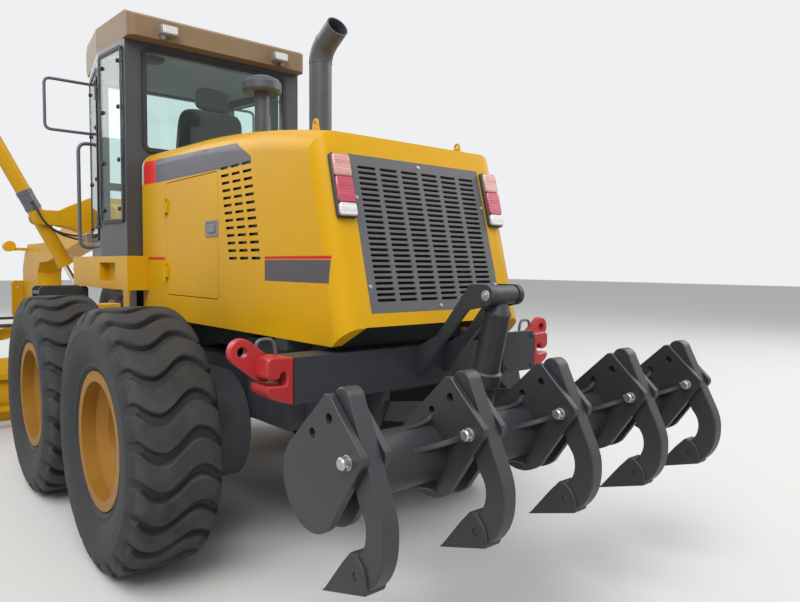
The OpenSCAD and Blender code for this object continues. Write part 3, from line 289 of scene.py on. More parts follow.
# Half section from the bead to the tread's edge: radius, distance from the middle, and the
# share of the lug's depth there.
tyre_side = np.array([
    (0.3182, 0.1644, 0), (0.352, 0.1644, 0), (0.3552, 0.1662, 0), (0.362, 0.176, 0),
    (0.372, 0.1855, 0), (0.381, 0.1915, 0), (0.389, 0.1915, 0), (0.397, 0.1890, 0),
    (0.420, 0.1985, 0), (0.450, 0.2095, 0), (0.485, 0.2180, 0), (0.520, 0.2218, 0),
    (0.553, 0.2208, 0), (0.560, 0.2222, 0), (0.567, 0.2200, 0), (0.590, 0.2165, 0.05),
    (0.612, 0.2105, 0.38), (0.632, 0.2030, 0.70), (0.648, 0.1945, 0.92), (0.658, 0.1850, 1)])
tread_y = np.linspace(0.174, -0.174, 19)
tread = np.stack([0.6718 - 0.0065 * np.abs(tread_y / 0.174) ** 3, tread_y, np.ones(19)], -1)
tyre_section = np.concatenate([tyre_side, tread, tyre_side[::-1] * (1, -1, 1)])
lug_slope = np.gradient(tyre_section[:, :2], axis=0)
lug_inward = np.stack([-lug_slope[:, 1], lug_slope[:, 0]], -1)
lug_inward /= np.linalg.norm(lug_inward, axis=1)[:, None]
lug_inward *= np.sign(-(lug_inward[:, 0] + 3 * lug_inward[:, 1] * tyre_section[:, 1]))[:, None]
across = np.clip(0.5 - tyre_section[:, 1] / (2 * 0.1945), 0, 1)
wave = -lug_wave / 0.672 * np.sin(2 * math.pi * (across - 0.5) / 0.88)
line_angle = (np.arange(lug_count)[:, None] + lug_phases).reshape(-1) * 2 * math.pi / lug_count
line_drop = np.tile(lug_drops, lug_count)
drop = line_drop[:, None] * tyre_section[:, 2] * lug_depth
tyre_r = tyre_section[:, 0] + lug_inward[:, 0] * drop
tyre_y = tyre_section[:, 1] + lug_inward[:, 1] * drop
tyre_angle = line_angle[:, None] + wave
worn_lines = (line_drop < 0.5) & (np.roll(line_drop, -1) < 0.5)
worn_columns = (tyre_section[:, 2] > 0.6) & (np.roll(tyre_section[:, 2], -1) > 0.6)
tyre_black = coated("tyre_black", (0.021, 0.023, 0.025), gloss=0.58, dust=0.05, dust_top=1.5, drift=0.12,
                    sheen=0.35)
tread_worn = coated("tread_worn", (0.031, 0.030, 0.029), gloss=0.65, dust=0.14, dust_top=1.7, drift=0.16,
                    grain=0.0015, sheen=0.3)
wheels = [(place, hand) for place in ("rear", "mid", "front") for hand in ("left", "right")]


def wheel_middle(place, hand):
    """Middle of a wheel, from its packed tyre."""
    low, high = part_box(f"tyre_{place}_{hand}")
    return (np.array(low) + np.array(high)) / 2


for place, hand in wheels:
    middle = wheel_middle(place, hand)
    outward = math.copysign(1, middle[1])
    grid = np.stack([middle[0] + tyre_r * np.sin(tyre_angle), middle[1] + tyre_y * outward,
                     middle[2] - tyre_r * np.cos(tyre_angle)], -1)
    add_piece(f"lugged_tyre_{place}_{hand}", [grid_part(grid, True, True)], tyre_black,
              f"wheel_{place}_{hand}", (f"tyre_{place}_{hand}",), 28,
              (tread_worn, (worn_lines[:, None] & worn_columns).reshape(-1)))

# Wheel nuts and hub caps: twelve zinc nuts on each disc and a turned steel cap in the
# middle, over the painted rims that were packed.
def turned_part(start, axis, profile, count=32):
    """A turned form: profile is (distance along the axis from start, radius)."""
    axis = np.array(axis, float) / np.linalg.norm(axis)
    side_a = np.cross(axis, (0.3, 0.5, 0.81))
    side_a /= np.linalg.norm(side_a)
    side_b = np.cross(axis, side_a)
    turn = np.arange(count) * 2 * math.pi / count
    ring = np.cos(turn)[:, None] * side_a + np.sin(turn)[:, None] * side_b
    profile = np.array(profile, float)
    grid = np.array(start, float) + profile[:, :1, None] * axis + profile[:, 1:, None] * ring
    return grid_part(grid, wrap_columns=True, caps=True)


def bolt_part(start, axis, across_flats, height):
    """A hexagon bolt head with its washer and chamfered top."""
    r = across_flats * 0.577
    washer = [(-0.002, r * 1.35), (height * 0.2, r * 1.35), (height * 0.25, r * 1.3)]
    head = [(height * 0.2, r), (height * 0.85, r), (height, r * 0.82)]
    return [turned_part(start, axis, washer, 20), turned_part(start, axis, head, 6)]


zinc = coated("zinc", (0.42, 0.42, 0.41), gloss=0.3, dust=0.15, metallic=0.85)
rim_orange = coated("rim_orange", (0.285, 0.128, 0.008), gloss=0.38, dust=0.10, dust_top=1.0, sheen=0.3)
nut_circle = 0.155
disc_face = -0.005
for place, hand in wheels:
    finish_nodes(rim_orange, f"rim_{place}_{hand}")
    middle = wheel_middle(place, hand)
    outward = np.array((0, math.copysign(1, middle[1]), 0))
    nuts = []
    for turn in np.arange(12) * math.pi / 6:
        foot = middle + outward * disc_face + nut_circle * np.array((math.cos(turn), 0, math.sin(turn)))
        nuts += bolt_part(foot, outward, 0.030, 0.024)
    nuts.append(turned_part(middle + outward * 0.016, outward,
                            [(0, 0.062), (0.010, 0.062), (0.018, 0.055), (0.022, 0.030), (0.022, 0.001)]))
    add_piece(f"wheel_nuts_{place}_{hand}", nuts, zinc, f"wheel_{place}_{hand}")

# Hood: pressed sheet in glossy construction yellow. The grey band, red block and thin red
# stripes are vinyl and paint on its sides, so they are masks in its material.
def ahead(mm):
    """Place along the machine, in metres, of a point mm ahead of the tandem pivots."""
    return (wheel_middle("rear", "left")[0] + wheel_middle("mid", "left")[0]) / 2 + mm / 1000


def side_patch_group():
    """Shader group: 1 on the machine's sides between two x and two sloping lines of z, and
    no further out than Widest."""
    group, source, result = new_group("side_patch", patch_limits, ("Mask",))
    x, y, z = add_node(group, "SeparateXYZ", Vector=add_node(group, "TexCoord").outputs["Object"]).outputs
    from_back = calc(group, "SUBTRACT", x, source["Back"])
    foot = calc(group, "MULTIPLY_ADD", from_back, source["Foot slope"], source["Foot"])
    top = calc(group, "MULTIPLY_ADD", from_back, source["Top slope"], source["Top"])
    aside = calc(group, "ABSOLUTE", y)
    mask = calc(group, "GREATER_THAN", from_back, 0.0)
    for kind, value, limit in (
            ("LESS_THAN", x, source["Front"]), ("GREATER_THAN", z, foot), ("LESS_THAN", z, top),
            ("GREATER_THAN", aside, 0.45), ("LESS_THAN", aside, source["Widest"])):
        mask = calc(group, "MULTIPLY", mask, calc(group, kind, value, limit))
    group.links.new(mask, result["Mask"])
    return group


patch_limits = ("Back", "Front", "Foot", "Foot slope", "Top", "Top slope", "Widest")
side_patch = side_patch_group()
# Patches, later ones over earlier ones: colour, back and front in mm ahead of the tandem
# pivots, then in metres foot and its slope, top and its slope, and how far out. The first is
# painted shade: near-black on the faces seen inside the louvres.
band_grey = (0.105, 0.10, 0.112)
stripe_red = (0.50, 0.02, 0.018)
side_patches = [
    # Painted shade inside the louvres.
    ((0.006, 0.006, 0.007), -1250, -780, 1.560, 0.0, 2.160, 0.0, 0.5886),
    (band_grey, -965, 215, 2.0934, 0.0139, 2.2160, 0.0422, 9),
    (band_grey, -1140, -964.9, 2.0910, 0.0139, 2.1240, 0.526, 9),
    ((0.62, 0.025, 0.02), 212, 440, 2.1100, 0.03, 2.2630, 0.06, 9),
    ((0.55, 0.55, 0.53), 452, 481, 2.1180, 0.0, 2.2830, 0.0, 9),
    (stripe_red, -1850, -1280, 1.5930, 0.0, 1.6080, 0.0, 9),
    ((0.085, 0.080, 0.085), -1850, -1280, 1.4850, 0.0, 1.5900, 0.0, 9),
    (stripe_red, 64, 481, 1.5930, 0.0, 1.6120, 0.0, 9)]


def patched(material, patches):
    """Lays the patches' colours between a coated material's paint and its shader."""
    tree = material.node_tree
    shader = next(node for node in tree.nodes if node.type == "BSDF_PRINCIPLED")
    colour = shader.inputs["Base Color"].links[0].from_socket
    for tint, back, front, *limits in patches:
        limits = (ahead(back), ahead(front), *limits)
        patch = add_node(tree, "Group", side_patch, **dict(zip(patch_limits, limits)))
        colour = mixed(tree, patch.outputs["Mask"], colour, (*tint, 1))
    tree.links.new(colour, shader.inputs["Base Color"])


yellow_paint = (0.575, 0.305, 0.004)
hood_yellow = coated("hood_yellow", yellow_paint, gloss=0.26, dust=0.015, drift=0.06, coat=0.05, sheen=0.12)
patched(hood_yellow, side_patches)
finish_nodes(hood_yellow, "hood", "hood_door_left", "hood_door_right")

# Door latches: a grey pressed dish with a paddle in it, screwed to each hood door.
def outline_round(width, height, radius):
    """Outline of a rectangle with round corners about its middle, anticlockwise."""
    turn = np.linspace(0, math.pi / 2, 6)
    corner = np.stack([np.cos(turn), np.sin(turn)], -1) * radius
    inner = np.array((width / 2 - radius, height / 2 - radius))
    spins = [(1, 1, corner), (-1, 1, corner[::-1] * (-1, 1)), (-1, -1, -corner),
             (1, -1, corner[::-1] * (1, -1))]
    return np.concatenate([part + inner * (sx, sy) for sx, sy, part in spins])


def plate_part(width, height, radius, middle, across, upward, depth, bevel=0.002, dish=0.0):
    """A plate with round corners and a bevelled edge, rising along across x upward by depth.
    With a dish, its face sinks by that much inside a rim."""
    outline = outline_round(width, height, radius)
    across, upward = np.array(across, float), np.array(upward, float)
    out = np.cross(across, upward)
    size = np.abs(outline).max(axis=0)
    rings = [(0.0, 0.0), (0.0, depth - bevel), (bevel, depth)]
    if dish:
        rings += [(0.012, depth), (0.012 + bevel * 2, depth - dish)]
    grid = np.array([np.array(middle) + (outline[:, :1] * (1 - inset / size[0])) * across
                     + (outline[:, 1:] * (1 - inset / size[1])) * upward + lift * out
                     for inset, lift in rings])
    return grid_part(grid, wrap_columns=True, caps=True)


latch_grey = coated("latch_grey", (0.16, 0.16, 0.165), gloss=0.35, dust=0.05)
hands = (("left", 1), ("right", -1))
for hand, s in hands:
    middle, across = (ahead(-660), s * 0.5900, 1.770), (-s, 0, 0)
    dish = plate_part(0.170, 0.095, 0.014, middle, across, (0, 0, 1), 0.004, 0.0015, 0.003)
    paddle = plate_part(0.090, 0.050, 0.010, middle, across, (0, 0, 1), 0.0065)
    add_piece(f"hood_latch_{hand}", [dish, paddle], latch_grey, f"hood_door_{hand}_body")

# Tail lamps: one tall moulded lens beside the grille, amber over red over white, in a dark
# housing on the sloping rear panel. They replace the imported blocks, with the work lamps.
def lens(name, colour):
    """Moulded lens plastic: a clear coat over pale colour, with fine ribs and facets, and a painted glint and
    painted shade on each facet.
    """
    material, tree = node_tree(name)
    facets = add_node(tree, "TexVoronoi", Vector=add_node(tree, "TexCoord").outputs["Object"], Scale=70,
                      Randomness=0.15).outputs["Distance"]
    # Painted glints and shade: each facet's colour is brighter in its middle and darker at its edge.
    tint = add_node(tree, "VectorMath", "SCALE", Vector=colour, Scale=spread(tree, facets, 0, 0.7, 1.25, 0.7))
    bump = add_node(tree, "Bump", Distance=0.0015, Height=facets)
    put_out(tree, add_node(tree, "BsdfPrincipled", Base_Color=tint.outputs[0], Normal=bump.outputs[0],
                           Roughness=0.18, Coat_Weight=0.7, Coat_Roughness=0.03))
    return material


lens_amber = lens("lens_amber", (0.62, 0.30, 0.26))
lens_red = lens("lens_red", (0.48, 0.045, 0.08))
lens_white = lens("lens_white", (0.70, 0.69, 0.68))
housing_black = coated("housing_black", (0.022, 0.022, 0.024), gloss=0.45, dust=0.1, dust_top=3)
rear_lean = math.atan2(0.216, 0.827)
rear_up = np.array((math.sin(rear_lean), 0, math.cos(rear_lean)))
rear_out = np.array((-math.cos(rear_lean), 0, math.sin(rear_lean)))
rear_foot = np.array((ahead(-1951), 0, 1.373))
lamp_foot, lamp_top, lamp_width = 0.415, 0.715, 0.106
# Plates of a tail lamp: material, from where to where up the panel, narrower by how much
# than the housing, how far off the panel, and the node replaced.
lamp_plates = (
    ("housing", housing_black, lamp_foot, lamp_top, 0, 0.001, ("lamps",)),
    ("white", lens_white, lamp_foot + 0.006, lamp_foot + 0.064, 0.012, 0.015, ()),
    ("red", lens_red, lamp_foot + 0.066, lamp_top - 0.112, 0.012, 0.015, ()),
    ("amber", lens_amber, lamp_top - 0.110, lamp_top - 0.006, 0.012, 0.015, ()))
for hand, s in hands:
    for name, material, low, high, inset, lift, replaced in lamp_plates:
        middle = rear_foot + rear_up * (low + high) / 2 + rear_out * lift + np.array((0, s * 0.492, 0))
        plate = plate_part(lamp_width - inset, high - low, 0.012, middle, (0, -1, 0), rear_up, 0.020, 0.004)
        add_piece(f"tail_{name}_{hand}", [plate], material, "machine", replaced)

# Work lamps: a square grey housing with a ribbed reflector lens near each rear corner of
# the roof, on a bracket below it.
def back_plate(width, height, radius, middle, depth, bevel):
    """A plate with round corners that stands across the machine and faces the rear."""
    return plate_part(width, height, radius, middle, (0, -1, 0), (0, 0, 1), depth, bevel)


lamp_grey = coated("lamp_grey", (0.20, 0.20, 0.205), gloss=0.3, dust=0.05, coat=0.3)
roof_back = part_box("cab_roof")[0][0]
for hand, s in hands:
    middle = np.array((roof_back, s * 0.438, 3.180))
    case = back_plate(0.124, 0.068, 0.016, middle - (0.0005, 0, 0), 0.064, 0.006)
    foot = turned_part(middle + (-0.02, s * 0.03, -0.030), (0, 0, -1),
                       [(0, 0.020), (0.016, 0.020), (0.030, 0.012)])
    pane = back_plate(0.104, 0.050, 0.012, middle - (0.062, 0, 0), 0.0085, 0.003)
    add_piece(f"work_lamp_{hand}", [case, foot], lamp_grey, "machine", ("lamps",))
    add_piece(f"work_lens_{hand}", [pane], lens_white, "machine", ("lamps",))

# Grille screen: a finely pleated black sheet in the dark behind the slotted plate, and the
# plate's few bright screws.
grille_grey = coated("grille_grey", (0.090, 0.088, 0.092), gloss=0.38, dust=0.05, dust_top=3, coat=0.05,
                     sheen=0.35)
finish_nodes(grille_grey, "grille")
screen_black = coated("screen_black", (0.010, 0.010, 0.011), gloss=0.55, dust=0.15, dust_top=3)
screen_y = np.linspace(-0.455, 0.455, 365)
screen_lift = -0.036 + 0.0025 * np.cos(screen_y * 2 * math.pi / 0.010)
screen_fold = screen_lift[:, None] * rear_out + screen_y[:, None] * (0, 1, 0)
screen = np.array([rear_foot + rear_up * up + screen_fold for up in (-0.010, 0.742)])
add_piece("grille_screen", [grid_part(screen)], screen_black, "machine", (), 80)
screws = []
for y, up in ((0.415, 0.52), (-0.415, 0.52), (0.415, 0.10), (-0.415, 0.10), (0, 0.705), (0, 0.002)):
    screws += bolt_part(rear_foot + rear_up * up + np.array((0, y, 0)), rear_out, 0.013, 0.007)
add_piece("grille_screws", screws, zinc, "machine")

# Cab: dark grey steel posts and doors. Every pane sits in a black rubber gasket, a flat ring
# round the glass, and the side panes are held by small black clips.
cab_grey = coated("cab_grey", (0.040, 0.042, 0.048), gloss=0.34, dust=0.06, dust_top=3, coat=0.15)
finish_nodes(cab_grey, "cab", "door_left", "door_right")
window_glass, tree = node_tree("window_glass")
smear = add_node(tree, "TexNoise", Vector=add_node(tree, "TexCoord").outputs["Object"], Scale=3.0)
put_out(tree, add_node(tree, "BsdfPrincipled", Base_Color=(0.80, 0.93, 0.90, 1), Transmission_Weight=1,
                       IOR=1.02, Coat_Weight=0.6, Coat_Roughness=0.01,
                       Roughness=spread(tree, smear.outputs["Fac"], 0, 1, 0.0, 0.05)))
finish_nodes(window_glass, "cab_glass", "door_glass_left", "door_glass_right")


def ring_part(middle, across, upward, width, height, radius, band, depth):
    """A flat ring band wide and depth thick round a rectangle with round corners."""
    across, upward = np.array(across, float), np.array(upward, float)
    out = np.cross(across, upward)
    outer = outline_round(width, height, radius)
    inner = outline_round(width - 2 * band, height - 2 * band, max(radius - band, 0.004))
    rings = [(outer, 0.0), (outer, depth), (inner, depth), (inner, 0.0)]
    grid = np.array([np.array(middle) + edge[:, :1] * across + edge[:, 1:] * upward + lift * out
                     for edge, lift in rings])
    return grid_part(grid, wrap_rows=True, wrap_columns=True)


rubber = coated("gasket_rubber", (0.012, 0.012, 0.013), gloss=0.5, dust=0.08, dust_top=3)
rear_gasket = ring_part((ahead(500) - 0.0067, 0, 2.720), (0, -1, 0), (0, 0, 1), 1.150, 0.726, 0.052, 0.030,
                        0.007)
add_piece("rear_gasket", [rear_gasket], rubber, "machine")
quarter = [(ahead(500), 0.690), (ahead(960), 0.735)]
door_side = [(ahead(960), 0.735), (ahead(1650), 0.607)]
for hand, s in hands:
    for name, ends, low_end, high_end, foot, head, body in (
            ("quarter", quarter, 0.036, 0.026, 1.856, 3.080, "machine"),
            ("door", door_side, 0.066, 0.084, 1.740, 3.031, f"door_{hand}_body")):
        a, b = (np.array((x, s * y, 0)) for x, y in ends)
        length = np.linalg.norm(b - a)
        onward = (b - a) / length
        out = np.cross((0, 0, 1), onward) * s
        middle = a + onward * (low_end + length - high_end) / 2 + (0, 0, (foot + head) / 2) + out * 0.0067
        width, height = length - low_end - high_end, head - foot
        parts = [ring_part(middle, -s * onward, (0, 0, 1), width, height, 0.028, 0.026, 0.005)]
        for up in (-0.42, -0.14, 0.16, 0.42):
            for side in (-1, 1):
                clip = middle + onward * side * (width / 2 - 0.060) + np.array((0, 0, up * height))
                parts.append(turned_part(clip - out * 0.001, out,
                                         [(0, 0.016), (0.008, 0.016), (0.014, 0.011), (0.016, 0.004)], 16))
        add_piece(f"{name}_gasket_{hand}", parts, rubber, body)

# Roof: a moulded cap in the same yellow, bleached to tan by the sun, bolted to the cab's top.
roof_yellow = coated("roof_yellow", (0.205, 0.134, 0.072), gloss=0.46, dust=0.06, dust_top=9, sheen=0.2)
finish_nodes(roof_yellow, "cab_roof")

# Headliner: a moulded grey panel pressed up under the roof inside the cab, with two round black
# speaker covers at its back corners. Its section is a superellipse, thinner at the ends.
headliner_grey = coated("headliner_grey", (0.29, 0.30, 0.315), gloss=0.75, dust=0.03, dust_top=4)
pad_x = np.concatenate([[565, 567, 572, 580, 592], np.linspace(620, 1600, 14), [1622, 1632, 1637, 1639]])
pad_half = np.interp(pad_x, [500, 960, 1650], [622, 667, 539]) / 1000
pad_thick = 0.012 + 0.016 * np.sqrt(np.clip(1 - ((pad_x - 1102) / 537.5) ** 12, 0, 1))
pad_turn = np.linspace(0, 2 * math.pi, 56, endpoint=False)
pad_y, pad_z = (np.sign(wave) * np.abs(wave) ** 0.25 for wave in (np.cos(pad_turn), np.sin(pad_turn)))
pad = np.stack([np.repeat(ahead(pad_x)[:, None], 56, axis=1), pad_half[:, None] * pad_y,
                3.088 + pad_thick[:, None] * pad_z], -1)
add_piece("headliner", [grid_part(pad, wrap_columns=True, caps=True)], headliner_grey, "machine",
          (), 50)
speakers = [turned_part((ahead(660), s * 0.442, 3.062), (0, 0, -1), [
    (0, 0.086), (0.010, 0.086), (0.016, 0.078), (0.026, 0.066), (0.030, 0.040), (0.030, 0.006)], 40)
    for s in (-1, 1)]
add_piece("speaker_covers", speakers, rubber, "machine")

# Seat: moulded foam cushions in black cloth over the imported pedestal's place, with a
# separate headrest, and the console with its steering wheel.
def cushion(name, middle, size, lean, crown=0.35):
    """A padded block with full edges: a superellipsoid, where cosines and sines are raised to
    the power crown, turned back by lean."""
    u = np.linspace(-math.pi / 2, math.pi / 2, 25)[:, None]
    v = np.linspace(0, 2 * math.pi, 48, endpoint=False)[None, :]

    def soft(t):
        return np.sign(t) * np.abs(t) ** crown

    x = size[0] / 2 * soft(np.cos(u)) * soft(np.cos(v))
    y = size[1] / 2 * soft(np.cos(u)) * soft(np.sin(v))
    z = size[2] / 2 * soft(np.sin(u)) * np.ones_like(v)
    c, sn = math.cos(lean), math.sin(lean)
    grid = np.stack([middle[0] + c * x - sn * z, middle[1] + y, middle[2] + sn * x + c * z], -1)
    piece = add_piece(name, [grid_part(grid, wrap_columns=True)], seat_cloth, "machine",
                      ("seat",), 60)


seat_cloth = coated("seat_cloth", (0.020, 0.020, 0.023), gloss=0.75, dust=0.1, dust_top=4, grain=0.003)
seat_lean = math.radians(12)
cushion("seat_squab", (ahead(1000), 0, 2.110), (0.52, 0.52, 0.14), 0.0)
cushion("seat_back", (ahead(690), 0, 2.440), (0.125, 0.50, 0.62), seat_lean)
cushion("head_rest", (ahead(618), 0, 2.825), (0.085, 0.26, 0.165), seat_lean, 0.5)
pedestal = plate_part(0.30, 0.40, 0.04, (ahead(970), 0, 1.6804), (1, 0, 0), (0, 1, 0), 0.36, 0.02)
stalks = [turned_part((ahead(650), y, 2.70), (-0.2, 0, 1), [(0, 0.009), (0.09, 0.009)], 12)
          for y in (-0.06, 0.06)]
console_black = coated("console_black", (0.018, 0.018, 0.020), gloss=0.5, dust=0.1, dust_top=4)
add_piece("seat_base", [pedestal] + stalks, console_black, "machine", ("seat",))
finish_nodes(console_black, "console")

# Handrails and mirror loops: bent steel tube, grey, with round corners, clamped to the front
# posts, and a ladder of pressed treads below each door.
def tube_part(path, radius, sides=12):
    """A round tube along a path, with flat ends; its frame turns as little as it can."""
    path = np.asarray(path, float)
    along = np.gradient(path, axis=0)
    along /= np.linalg.norm(along, axis=1)[:, None]
    side = np.cross(along[0], (0.31, 0.47, 0.83))
    rings = []
    turn = np.arange(sides) * 2 * math.pi / sides
    for point, way in zip(path, along):
        side = side - way * np.dot(side, way)
        side /= np.linalg.norm(side)
        other = np.cross(way, side)
        rings.append(point + radius * (np.cos(turn)[:, None] * side + np.sin(turn)[:, None] * other))
    return grid_part(np.array(rings), wrap_columns=True, caps=True)


def bent_path(corners, radius):
    """Straight runs between the corners, each corner turned with a curve of the radius."""
    corners = np.array(corners, float)
    path = [corners[0]]
    for before, corner, after in zip(corners, corners[1:], corners[2:]):
        way_in = (before - corner) / np.linalg.norm(before - corner)
        way_out = (after - corner) / np.linalg.norm(after - corner)
        t = np.linspace(0, 1, 7)[:, None]
        path += list(corner + radius * ((1 - t) ** 2 * way_in + t ** 2 * way_out))
    path.append(corners[-1])
    return np.array(path)


rail_grey = coated("rail_grey", (0.10, 0.10, 0.12), gloss=0.35, dust=0.08, dust_top=3, coat=0.1)
ladder_black = coated("ladder_black", (0.020, 0.021, 0.023), gloss=0.42, dust=0.25, dust_top=1.5)
rail_x = ahead(1725)
post_x = ahead(1700) + 0.0004
rail_clamp = [(0, 0.030), (0.005, 0.030), (0.006, 0.013), (0.026, 0.013), (0.036, 0.011)]
for hand, s in hands:
    parts = []
    for reach, high, low, corner, radius in (
            (0.932, 3.065, 2.655, 0.05, 0.012), (0.684, 2.570, 1.700, 0.07, 0.015)):
        loop = [(rail_x, s * y, z) for y, z in ((0.532, high), (reach, high), (reach, low), (0.532, low))]
        parts.append(tube_part(bent_path(loop, corner), radius))
        parts += [turned_part((post_x, s * 0.535, z), (1, 0, 0), rail_clamp, 16) for z in (high, low)]
    add_piece(f"rails_{hand}", parts, rail_grey, "machine", ("rails_and_steps",))
    steps = [plate_part(0.360, 0.862, 0.03, (ahead(x), s * 0.870, 0.9514), (0, 1, 0), (0, 0, 1), 0.020,
                        0.003) for x in (1480, 1720)]
    for z in (0.540, 0.800, 1.060, 1.320):
        steps.append(plate_part(0.221, 0.290, 0.01, (ahead(1610), s * 0.905, z), (1, 0, 0), (0, 1, 0),
                                0.024, 0.003))
        steps += [plate_part(0.200, 0.016, 0.006, (ahead(1610), s * y, z + 0.0235), (1, 0, 0), (0, 1, 0),
                             0.0045) for y in (0.790, 0.845, 0.900, 0.955, 1.010)]
    add_piece(f"ladder_{hand}", steps, ladder_black, "machine", ("rails_and_steps",))

# Ripper: a thick tube between two pairs of links, with pairs of flame-cut holder plates on it.
# Plates, ribs and ears are welded on and everything is sprayed black; it replaces the packed
# frame, whose plates stand in the same places.
def through(points, steps):
    """A smooth path through points: each span is the cubic that leaves and arrives along the
    line between the points on either side."""
    points = np.asarray(points, float)
    points = np.concatenate([2 * points[:1] - points[1:2], points, 2 * points[-1:] - points[-2:-1]])
    t = np.linspace(0, 1, steps, endpoint=False)[:, None]
    spans = [0.5 * (2 * b + (c - a) * t + (2 * a - 5 * b + 4 * c - d) * t ** 2
                    + (3 * b - a - 3 * c + d) * t ** 3)
             for a, b, c, d in zip(points, points[1:], points[2:], points[3:])]
    return np.concatenate(spans + [points[-2:-1]])


def arc_points(middle, radius, first, last, steps=10):
    """Points of an arc about middle, from the first angle to the last, in degrees."""
    turn = np.radians(np.linspace(first, last, steps))
    return np.array(middle) + radius * np.stack([np.cos(turn), np.sin(turn)], -1)


def drawn_in(outline, inset):
    """The outline moved inwards by inset along the normal at each of its points."""
    way = np.roll(outline, -1, axis=0) - np.roll(outline, 1, axis=0)
    way /= np.linalg.norm(way, axis=1)[:, None]
    inward = np.stack([-way[:, 1], way[:, 0]], -1)
    area = np.sum(outline[:, 0] * np.roll(outline[:, 1], -1) - outline[:, 1] * np.roll(outline[:, 0], -1))
    return outline + inward * inset * np.sign(area)


def cut_plate(outline, low, high, bevel=0.003, holes=()):
    """A plate cut to an outline of (x, z), standing between y = low and y = high, with its
    edges bevelled. holes are (middle, radius); both faces are triangles round them."""
    rounds = [arc_points(middle, radius, 0, 360, 21)[:-1] for middle, radius in holes]
    face = drawn_in(outline, bevel)
    loops = [(face, outline)] + [(ring, ring) for ring in rounds]
    flat = np.concatenate([loop[0] for loop in loops])
    edges, start = [], 0
    for loop, _ in loops:
        edges += [(start + k, start + (k + 1) % len(loop)) for k in range(len(loop))]
        start += len(loop)
    found = delaunay_2d_cdt([Vector(point) for point in flat], edges, [], 1, 1e-7)
    inside = []
    for face_points in found[2]:
        heart = np.mean([found[0][k] for k in face_points], axis=0)
        if all(np.linalg.norm(heart - np.array(middle)) > radius * 0.98 for middle, radius in holes):
            inside.append(face_points)
    skin = np.array([tuple(point) for point in found[0]])
    parts = [(np.stack([skin[:, 0], np.full(len(skin), y), skin[:, 1]], -1), inside) for y in (low, high)]
    for inner, outer in loops:
        rings = ((inner, low), (outer, low + bevel), (outer, high - bevel), (inner, high))
        grid = np.array([np.stack([ring[:, 0], np.full(len(ring), y), ring[:, 1]], -1) for ring, y in rings])
        parts.append(grid_part(grid, wrap_columns=True))
    return parts


def spot(x, z):
    """A place in the machine's upright middle plane from mm ahead of the tandem pivots and
    mm above the ground: (x, z) in metres."""
    return np.array((ahead(x), z / 1000))


ripper_black = coated("ripper_black", (0.022, 0.024, 0.027), gloss=0.36, dust=0.05, dust_top=0.9,
                      grain=0.0009)
tube_mid = spot(-2472, 874)
holder_outline = np.concatenate([
    arc_points(spot(-2588, 1142), 0.030, 38, 145, 8),
    arc_points(spot(-2735, 1000), 0.034, 150, 232, 8),
    arc_points(spot(-2490, 868), 0.160, 226, 322, 14),
    arc_points(spot(-2472, 874), 0.150, -20, 52, 9)])
holder_holes = [(spot(-2600, 1098), 0.017), (spot(-2506, 1036), 0.017)]
pin_mid = spot(-2698, 984)
shank_places = [0.518 * i for i in (-2, -1, 0, 1, 2)]
gap_half, plate_thick = 0.0314, 0.026
rib_length = 0.150


def rib(y, way, degrees, reach):
    """Gusset between a plate's face and the tube: in the plane of y and the radius at the
    given angle, its free edge is a hollow arc from the plate down to the tube."""
    radius = np.array((math.cos(math.radians(degrees)), math.sin(math.radians(degrees))))
    t = np.linspace(0, math.pi / 2, 9)
    edge = np.stack([reach - (reach - 0.112) * np.sin(t), rib_length * (1 - np.cos(t))], -1)
    outline = np.concatenate([edge, [(0.106, rib_length), (0.106, -0.002), (reach, -0.002)]])
    across = np.array((-radius[1], 0, radius[0]))
    rings = []
    for inset, lift in ((0.003, -0.010), (0.0, -0.007), (0.0, 0.007), (0.003, 0.010)):
        line = drawn_in(outline, inset)
        rings.append(np.stack([tube_mid[0] + radius[0] * line[:, 0], y + way * line[:, 1],
                               tube_mid[1] + radius[1] * line[:, 0]], -1) + across * lift)
    return grid_part(np.array(rings), wrap_columns=True, caps=True)


plates, ribs, pins = [], [], []
for y in shank_places:
    for way in (-1, 1):
        near, far = y + way * gap_half, y + way * (gap_half + plate_thick)
        plates += cut_plate(holder_outline, min(near, far), max(near, far), 0.003, holder_holes)
        if abs(far) < 1.05:
            ribs += [rib(far, way, 101, 0.147), rib(far, way, 154, 0.222), rib(far, way, 250, 0.158)]
    pin_end = gap_half + plate_thick
    for way in (-1, 1):
        foot = np.array((pin_mid[0], y + way * (pin_end - 0.002), pin_mid[1]))
        pins.append(turned_part(foot, (0, way, 0), [
            (0, 0.024), (0.005, 0.024), (0.006, 0.0205), (0.026, 0.0205), (0.031, 0.016)], 28))
        lock = foot + (0, way * 0.018, 0)
        pins.append(turned_part(lock - np.array((0.027, 0, 0.006)), (1, 0, 0.22),
                                [(0, 0.0045), (0.054, 0.0045)], 10))
tube_end = 2 * 0.518 + gap_half + plate_thick - 0.006
tube = turned_part((tube_mid[0], -tube_end, tube_mid[1]), (0, 1, 0),
                   [(0, 0.104), (0.003, 0.110), (2 * tube_end - 0.003, 0.110), (2 * tube_end, 0.104)], 64)
link_rise = math.radians(9)
ears = []
for z in (600, 850):
    eye = spot(-1700 - 638 * math.cos(link_rise), z + 638 * math.sin(link_rise))
    for hand in (-1, 1):
        side = tube_mid - eye
        lean = math.degrees(math.atan2(side[1], side[0]))
        ear = np.concatenate([arc_points(tube_mid, 0.044, lean - 90, lean + 90, 12),
                              arc_points(eye, 0.044, lean + 90, lean + 270, 16)])
        low, high = sorted((hand * 0.275, hand * 0.305))
        ears += cut_plate(ear, low, high, 0.002)
        ears.append(turned_part((eye[0], hand * 0.240, eye[1]), (0, hand, 0),
                                [(0, 0.028), (0.034, 0.028), (0.037, 0.024)], 28))
add_piece("ripper_tube", [tube] + ears, ripper_black, "ripper", ("ripper_frame",))
